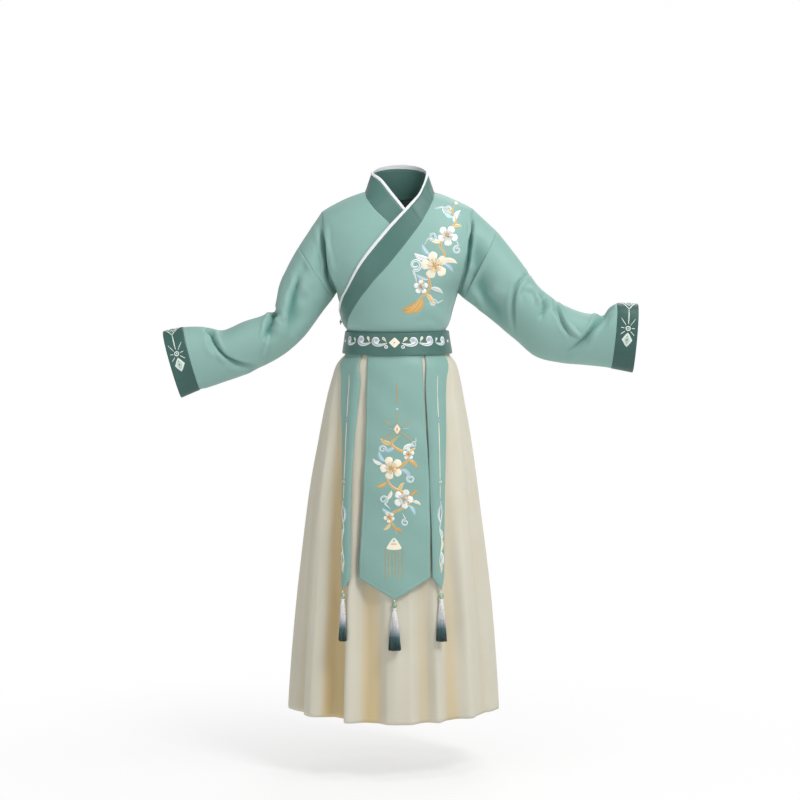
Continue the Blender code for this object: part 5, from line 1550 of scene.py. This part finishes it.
for step in range(6):
    x = -0.0205 + 0.0060 * step
    foot = -0.6765 + 0.0060 * (step in (2, 3)) + 0.0025 * (step % 2)
    top = -0.6205 - 0.0035 * (1 - abs(step - 2.5) / 2.5)
    panel_figure += [bar((x, top), (x, -0.6470), 0.0005, GOLD), bar((x, -0.6500), (x, foot), 0.0005, GOLD)]
    panel_figure += [dot((x, -0.6485), 0.0011, GOLD)]
panel_pieces = {"centre": [stitched("embroidery_panel_centre", panel_figure, from_ahead, centre_panel)]}

# On each side panel: a fine line broken by small knots, then a leaf and a trail of long leaves.
side_figure = [
    bar((0, -0.3205), (0, -0.3560), 0.0006, THREAD_CREAM), bar((0, -0.3540), (0, -0.3940), 0.0008, THREAD_CREAM),
    ring((0, -0.3984), 0.0015, 0.0007, LAVENDER),
    bar((0, -0.4030), (0, -0.4560), 0.0008, THREAD_CREAM), bar((0, -0.4540), (0, -0.5030), 0.0007, THREAD_CREAM),
    ring((0.0008, -0.5071), 0.0018, 0.0006, THREAD_CREAM),
    bar((0, -0.5120), (0, -0.5360), 0.0006, THREAD_CREAM),
    Stroke([(0.0004, -0.5400), (0.0026, -0.5580), (0.0012, -0.5720), (-0.0012, -0.5900), (0.0022, -0.6100),
            (0.0006, -0.6280), (-0.0014, -0.6460), (0.0014, -0.6640)], (0.0004, 0.0006, 0.0004), THREAD_CREAM),
]
for place, length, turn, dye, vein in (
    ((0.0006, -0.5800), 0.034, 88, LAVENDER, THREAD_WHITE),
    ((-0.0012, -0.5880), 0.022, 277, THREAD_WHITE, SKY_BLUE),
    ((0.0020, -0.6060), 0.024, 264, THREAD_CREAM, PALE_GOLD),
    ((-0.0006, -0.6260), 0.030, 276, SKY_BLUE, THREAD_WHITE),
    ((0.0008, -0.6300), 0.024, 266, THREAD_WHITE, SKY_BLUE),
    ((-0.0010, -0.6460), 0.020, 274, THREAD_CREAM, PALE_GOLD),
):
    side_figure += moved(leaf(dye, vein, fat=0.075), place, length, turn)
for side, table, strokes in (("left", LEFT_PANEL, side_figure), ("right", RIGHT_PANEL, mirrored(side_figure))):
    def towards_panel(places, table=table):
        """Rays from straight in front, for places given as x from the panel's middle line and z."""
        level = np.maximum(places[:, 1], table[-1].level)
        x = side_panel_point(table, np.full(len(places), 0.5), level)[:, 0]
        return from_ahead(np.stack((x + places[:, 0], places[:, 1]), 1))

    panel_pieces[side] = [stitched(f"embroidery_panel_{side}", strokes, towards_panel, side_panels[side])]


# The ends of the panels: from each point hangs a short twisted cord, a drilled jade bead, a knot of
# white cord and a silk tassel that is dipped in dye, from white to dark teal at its foot.
BEAD_RADIUS = 0.0048
BEAD_HOLE = 0.0009
END_GAP = 0.0003
TASSEL_CORD_LENGTH = 0.0040
TASSEL_HEAD_LENGTH = 0.0080
TASSEL_LENGTH = 0.0660
TASSEL_LEAN = 0.0120
TASSEL_STRANDS = 170
STRAND_STEPS = 11
STRAND_RADIUS = 0.00042
DIP_COLOURS = (
    (0.0, (0.90, 0.90, 0.88)), (0.44, (0.84, 0.84, 0.86)), (0.58, (0.36, 0.44, 0.50)), (0.70, (0.07, 0.16, 0.17)),
    (0.86, (0.022, 0.075, 0.072)), (1.0, (0.006, 0.018, 0.018)),
)


def tube(line, radii, away, sides=3):
    """A thread along a line: rings of points and their faces. away is never along the line."""
    line, radii = np.asarray(line, float), np.asarray(radii, float)
    run = unit(np.gradient(line, axis=0))
    side = unit(np.cross(run, away))
    other = np.cross(run, side)
    turns = 2 * math.pi * np.arange(sides) / sides
    spread = np.cos(turns)[:, None] * side[:, None] + np.sin(turns)[:, None] * other[:, None]
    points = line[:, None] + radii[:, None, None] * spread
    faces = [tuple(range(sides)), tuple(range(len(line) * sides - 1, (len(line) - 1) * sides - 1, -1))]
    for step in range(len(line) - 1):
        for corner in range(sides):
            here, after = step * sides + corner, step * sides + (corner + 1) % sides
            faces.append((here, here + sides, after + sides, after))
    return points.reshape(-1, 3), faces


def lathe(profile, steps=28, closed=False):
    """A turned form round the z axis, from radii and heights. closed joins its last ring to its first."""
    turns = 2 * math.pi * np.arange(steps) / steps
    round_z = np.stack((np.cos(turns), np.sin(turns), 0 * turns), 1)
    points = np.concatenate([radius * round_z + (0, 0, height) for radius, height in profile])
    faces = []
    rings = len(profile)
    for level in range(rings if closed else rings - 1):
        for step in range(steps):
            here, after = level * steps, (level + 1) % rings * steps
            faces.append((here + step, after + step, after + (step + 1) % steps, here + (step + 1) % steps))
    if not closed:
        faces += [tuple(range(steps)), tuple(range(len(points) - 1, len(points) - 1 - steps, -1))]
    return points, faces


def gathered(parts):
    """Points and faces of several parts in one."""
    points, faces, first = [], [], 0
    for made, sides in parts:
        points.append(made)
        faces += [tuple(index + first for index in face) for face in sides]
        first += len(made)
    return np.concatenate(points), faces


def small_piece(name, parts, place, material, stands_for, length=1.0):
    """A small piece from parts round its own place. Its attribute says how far down each point is."""
    points, faces = gathered(parts)
    dip = np.clip(-points[:, 2] / length, 0, 1)
    obj = mesh_object(name, points + np.array(place), faces, material, {"dip": ("FLOAT", "value", dip)})
    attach(obj, "root")
    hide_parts(stands_for)
    return obj


def twist(line, away, radius, plies=3, turns=3.0):
    """A twisted cord round a line."""
    line = np.asarray(line, float)
    run = unit(np.gradient(line, axis=0))
    side = unit(np.cross(run, away))
    other = np.cross(run, side)
    parts = []
    for ply in range(plies):
        turn = 2 * math.pi * (turns * np.linspace(0, 1, len(line)) + ply / plies)
        offset = np.cos(turn)[:, None] * side + np.sin(turn)[:, None] * other
        parts.append(tube(line + 0.5 * radius * offset, np.full(len(line), 0.55 * radius), away, 6))
    return parts


def small_finish(name, low, high, roughness, scale, bump_height, coat=0.0):
    """Two close tones in soft clouds over a slightly uneven surface."""
    material = bpy.data.materials.new(name)
    material.use_nodes = True
    shader = material.node_tree.nodes["Principled BSDF"]
    wire = Wire(material.node_tree)
    place = wire.node("ShaderNodeTexCoord", out="Object")
    cloudy = wire.node("ShaderNodeTexNoise", None, {"Vector": place, "Scale": scale, "Detail": 4.0})
    fine = wire.node("ShaderNodeTexNoise", None, {"Vector": place, "Scale": scale * 6, "Detail": 2.0})
    wire.plug(shader.inputs["Base Color"], (cloudy * 0.8 + fine * 0.2).step(0.35, 0.65).blend(low, high))
    wire.plug(shader.inputs["Roughness"], roughness + (fine - 0.5) * 0.15)
    bump = wire.node("ShaderNodeBump", None, {"Height": fine * bump_height, "Distance": 0.001, "Strength": 0.6})
    wire.plug(shader.inputs["Normal"], bump)
    shader.inputs["Coat Weight"].default_value = coat
    return material


def dipped_finish():
    """Silk strands, white above and dyed darker and darker below, with a faint difference from strand to
    strand."""
    material = bpy.data.materials.new("dipped_silk")
    material.use_nodes = True
    shader = material.node_tree.nodes["Principled BSDF"]
    wire = Wire(material.node_tree)
    dip = wire.node("ShaderNodeAttribute", {"attribute_name": "dip"}, out="Fac")
    place = wire.node("ShaderNodeTexCoord", out="Object")
    split = wire.node("ShaderNodeSeparateXYZ", None, {0: place})
    streak_place = wire.node("ShaderNodeCombineXYZ", None, {
        "X": split * 1500.0, "Y": split.other("Y") * 1500.0, "Z": split.other("Z") * 30.0,
    })
    streak = wire.node("ShaderNodeTexNoise", None, {"Vector": streak_place, "Scale": 1.0, "Detail": 1.0})
    level = dip + (streak - 0.5) * 0.14
    dyed = wire.node("ShaderNodeValToRGB", {"stops": DIP_COLOURS}, {"Fac": level})
    wire.plug(shader.inputs["Base Color"], (streak.step(0.3, 0.7) * 0.3).blend(dyed, (0.0, 0.0, 0.0)))
    wire.plug(shader.inputs["Roughness"], 0.38 + (streak - 0.5) * 0.2)
    shader.inputs["Sheen Weight"].default_value = 0.15
    return material


def bead_profile():
    """A drilled ball, down its outside and back up through the hole."""
    edge = math.asin(BEAD_HOLE / BEAD_RADIUS)
    turns = [edge + (math.pi - 2 * edge) * step / 20 for step in range(21)]
    return [(BEAD_RADIUS * math.sin(turn), BEAD_RADIUS * math.cos(turn)) for turn in turns]


def strands(spread, chance):
    """The tassel's threads, which leave the knot together, widen and hang a little forward."""
    parts = []
    top = -0.0036
    share = np.linspace(0, 1, STRAND_STEPS + 1)
    for number in range(TASSEL_STRANDS):
        out = math.sqrt((number + 0.5) / TASSEL_STRANDS)
        turn = number * math.pi * (3 - math.sqrt(5))
        drop = (TASSEL_HEAD_LENGTH + TASSEL_LENGTH + top) * (1 - 0.035 * chance.random() * out)
        radius = out * (0.0019 + 0.0016 * soft(share, 0.0, 0.09) + (spread - 0.0035) * share**0.85)
        sway = 0.0009 * np.sin(share * 5 + 6 * chance.random()) * share
        x = radius * math.cos(turn) + sway
        y = radius * math.sin(turn) * 0.72 - TASSEL_LEAN * share**1.2
        line = np.stack((x, y, top - drop * share), 1)
        radii = STRAND_RADIUS * (1 + 0.25 * share) * (1 + 0.2 * chance.random())
        parts.append(tube(line, radii, np.array((math.cos(turn), math.sin(turn), 0.2))))
    return parts


jade = small_finish("jade", (0.17, 0.30, 0.19), (0.36, 0.47, 0.33), 0.16, 160.0, 0.05, 0.6)
white_cord = small_finish("white_cord", (0.74, 0.74, 0.71), (0.88, 0.88, 0.86), 0.5, 900.0, 0.25)
green_cord = small_finish("green_cord", (0.20, 0.32, 0.28), (0.34, 0.47, 0.42), 0.5, 900.0, 0.25)
dipped_silk = dipped_finish()
chance = np.random.default_rng(7)
middle_share = np.array(0.5)
for side, panel, tip, spread, flat, area in (
    ("centre", centre_panel, centre_panel_point(middle_share, np.array(-0.7090)), 0.0112, (0.127, 0.437), 0.0495),
    ("right", side_panels["right"], side_panel_point(RIGHT_PANEL, middle_share, np.array(-0.6960)), 0.0062,
     (0.055, 0.424), 0.0155),
    ("left", side_panels["left"], side_panel_point(LEFT_PANEL, middle_share, np.array(-0.6960)), 0.0092,
     (0.055, 0.424), 0.0155),
):
    cord_top = tip - (0, 0, END_GAP)
    drop = np.linspace(0, TASSEL_CORD_LENGTH, 12)
    cord_line = np.stack((0 * drop, 0 * drop, -drop), 1)
    cord = small_piece(f"cord_twist_{side}", twist(cord_line, (0, 1, 0), 0.0008, turns=2.0), cord_top, white_cord,
                       f"tassel_cord_{side}")
    bead_place = tip - (0, 0, 2 * END_GAP + TASSEL_CORD_LENGTH + BEAD_RADIUS)
    bead = small_piece(f"bead_drilled_{side}", [lathe(bead_profile(), 40, closed=True)], bead_place, jade,
                       f"bead_{side}")
    knot = [(0.0012, 0.0), (0.0026, -0.0004), (0.0035, -0.0014), (0.0034, -0.0024), (0.0024, -0.0034),
            (0.0020, -0.0042), (0.0030, -0.0062), (0.0030, -0.0085), (0.0026, -0.0130)]
    turn = np.linspace(0, 2 * math.pi, 25)
    binding = [
        tube(np.stack((0.0026 * np.cos(turn), 0.0026 * np.sin(turn), np.full_like(turn, level)), 1),
             np.full_like(turn, 0.00034), (0, 0, 1), 5)
        for level in (-0.0036, -0.0042, -0.0048)
    ]
    head_place = bead_place - (0, 0, BEAD_RADIUS + END_GAP)
    tassel = small_piece(f"tassel_silk_{side}", [lathe(knot)] + binding + strands(spread, chance), head_place,
                         dipped_silk, f"tassel_{side}", TASSEL_HEAD_LENGTH + TASSEL_LENGTH)


# The closure at the right side of the waist: a knotted ball button of white cord, held by a loop of
# twisted green cord.
BUTTON_RADIUS = 0.0027
LOOP_RADIUS = 0.0041
LOOP_THICKNESS = 0.0008
BUTTON_PLACE = (-0.1022, 0.0040, -0.2285)
turn = np.linspace(0, 2 * math.pi, 97)
polar, azimuth = math.pi / 2 + 0.95 * np.sin(3 * turn), 2 * turn
weave = np.stack((np.sin(polar) * np.cos(azimuth), np.sin(polar) * np.sin(azimuth), np.cos(polar)), 1)
ball = lathe([(BUTTON_RADIUS * 0.72 * math.sin(a), BUTTON_RADIUS * 0.72 * math.cos(a))
              for a in np.linspace(0.15, math.pi - 0.15, 12)], 20)
small_piece("button_knot", [ball, tube(weave * BUTTON_RADIUS * 0.74, np.full(97, 0.0007), weave, 8)], BUTTON_PLACE,
            white_cord, "side_button")
turn = np.linspace(0, 2 * math.pi, 73)
loop_line = np.stack((0 * turn, LOOP_RADIUS * np.cos(turn), LOOP_RADIUS * np.sin(turn)), 1)
small_piece("loop_cord", twist(loop_line, (1, 0, 0), LOOP_THICKNESS, plies=2, turns=9.0), BUTTON_PLACE, green_cord,
            "side_loop")
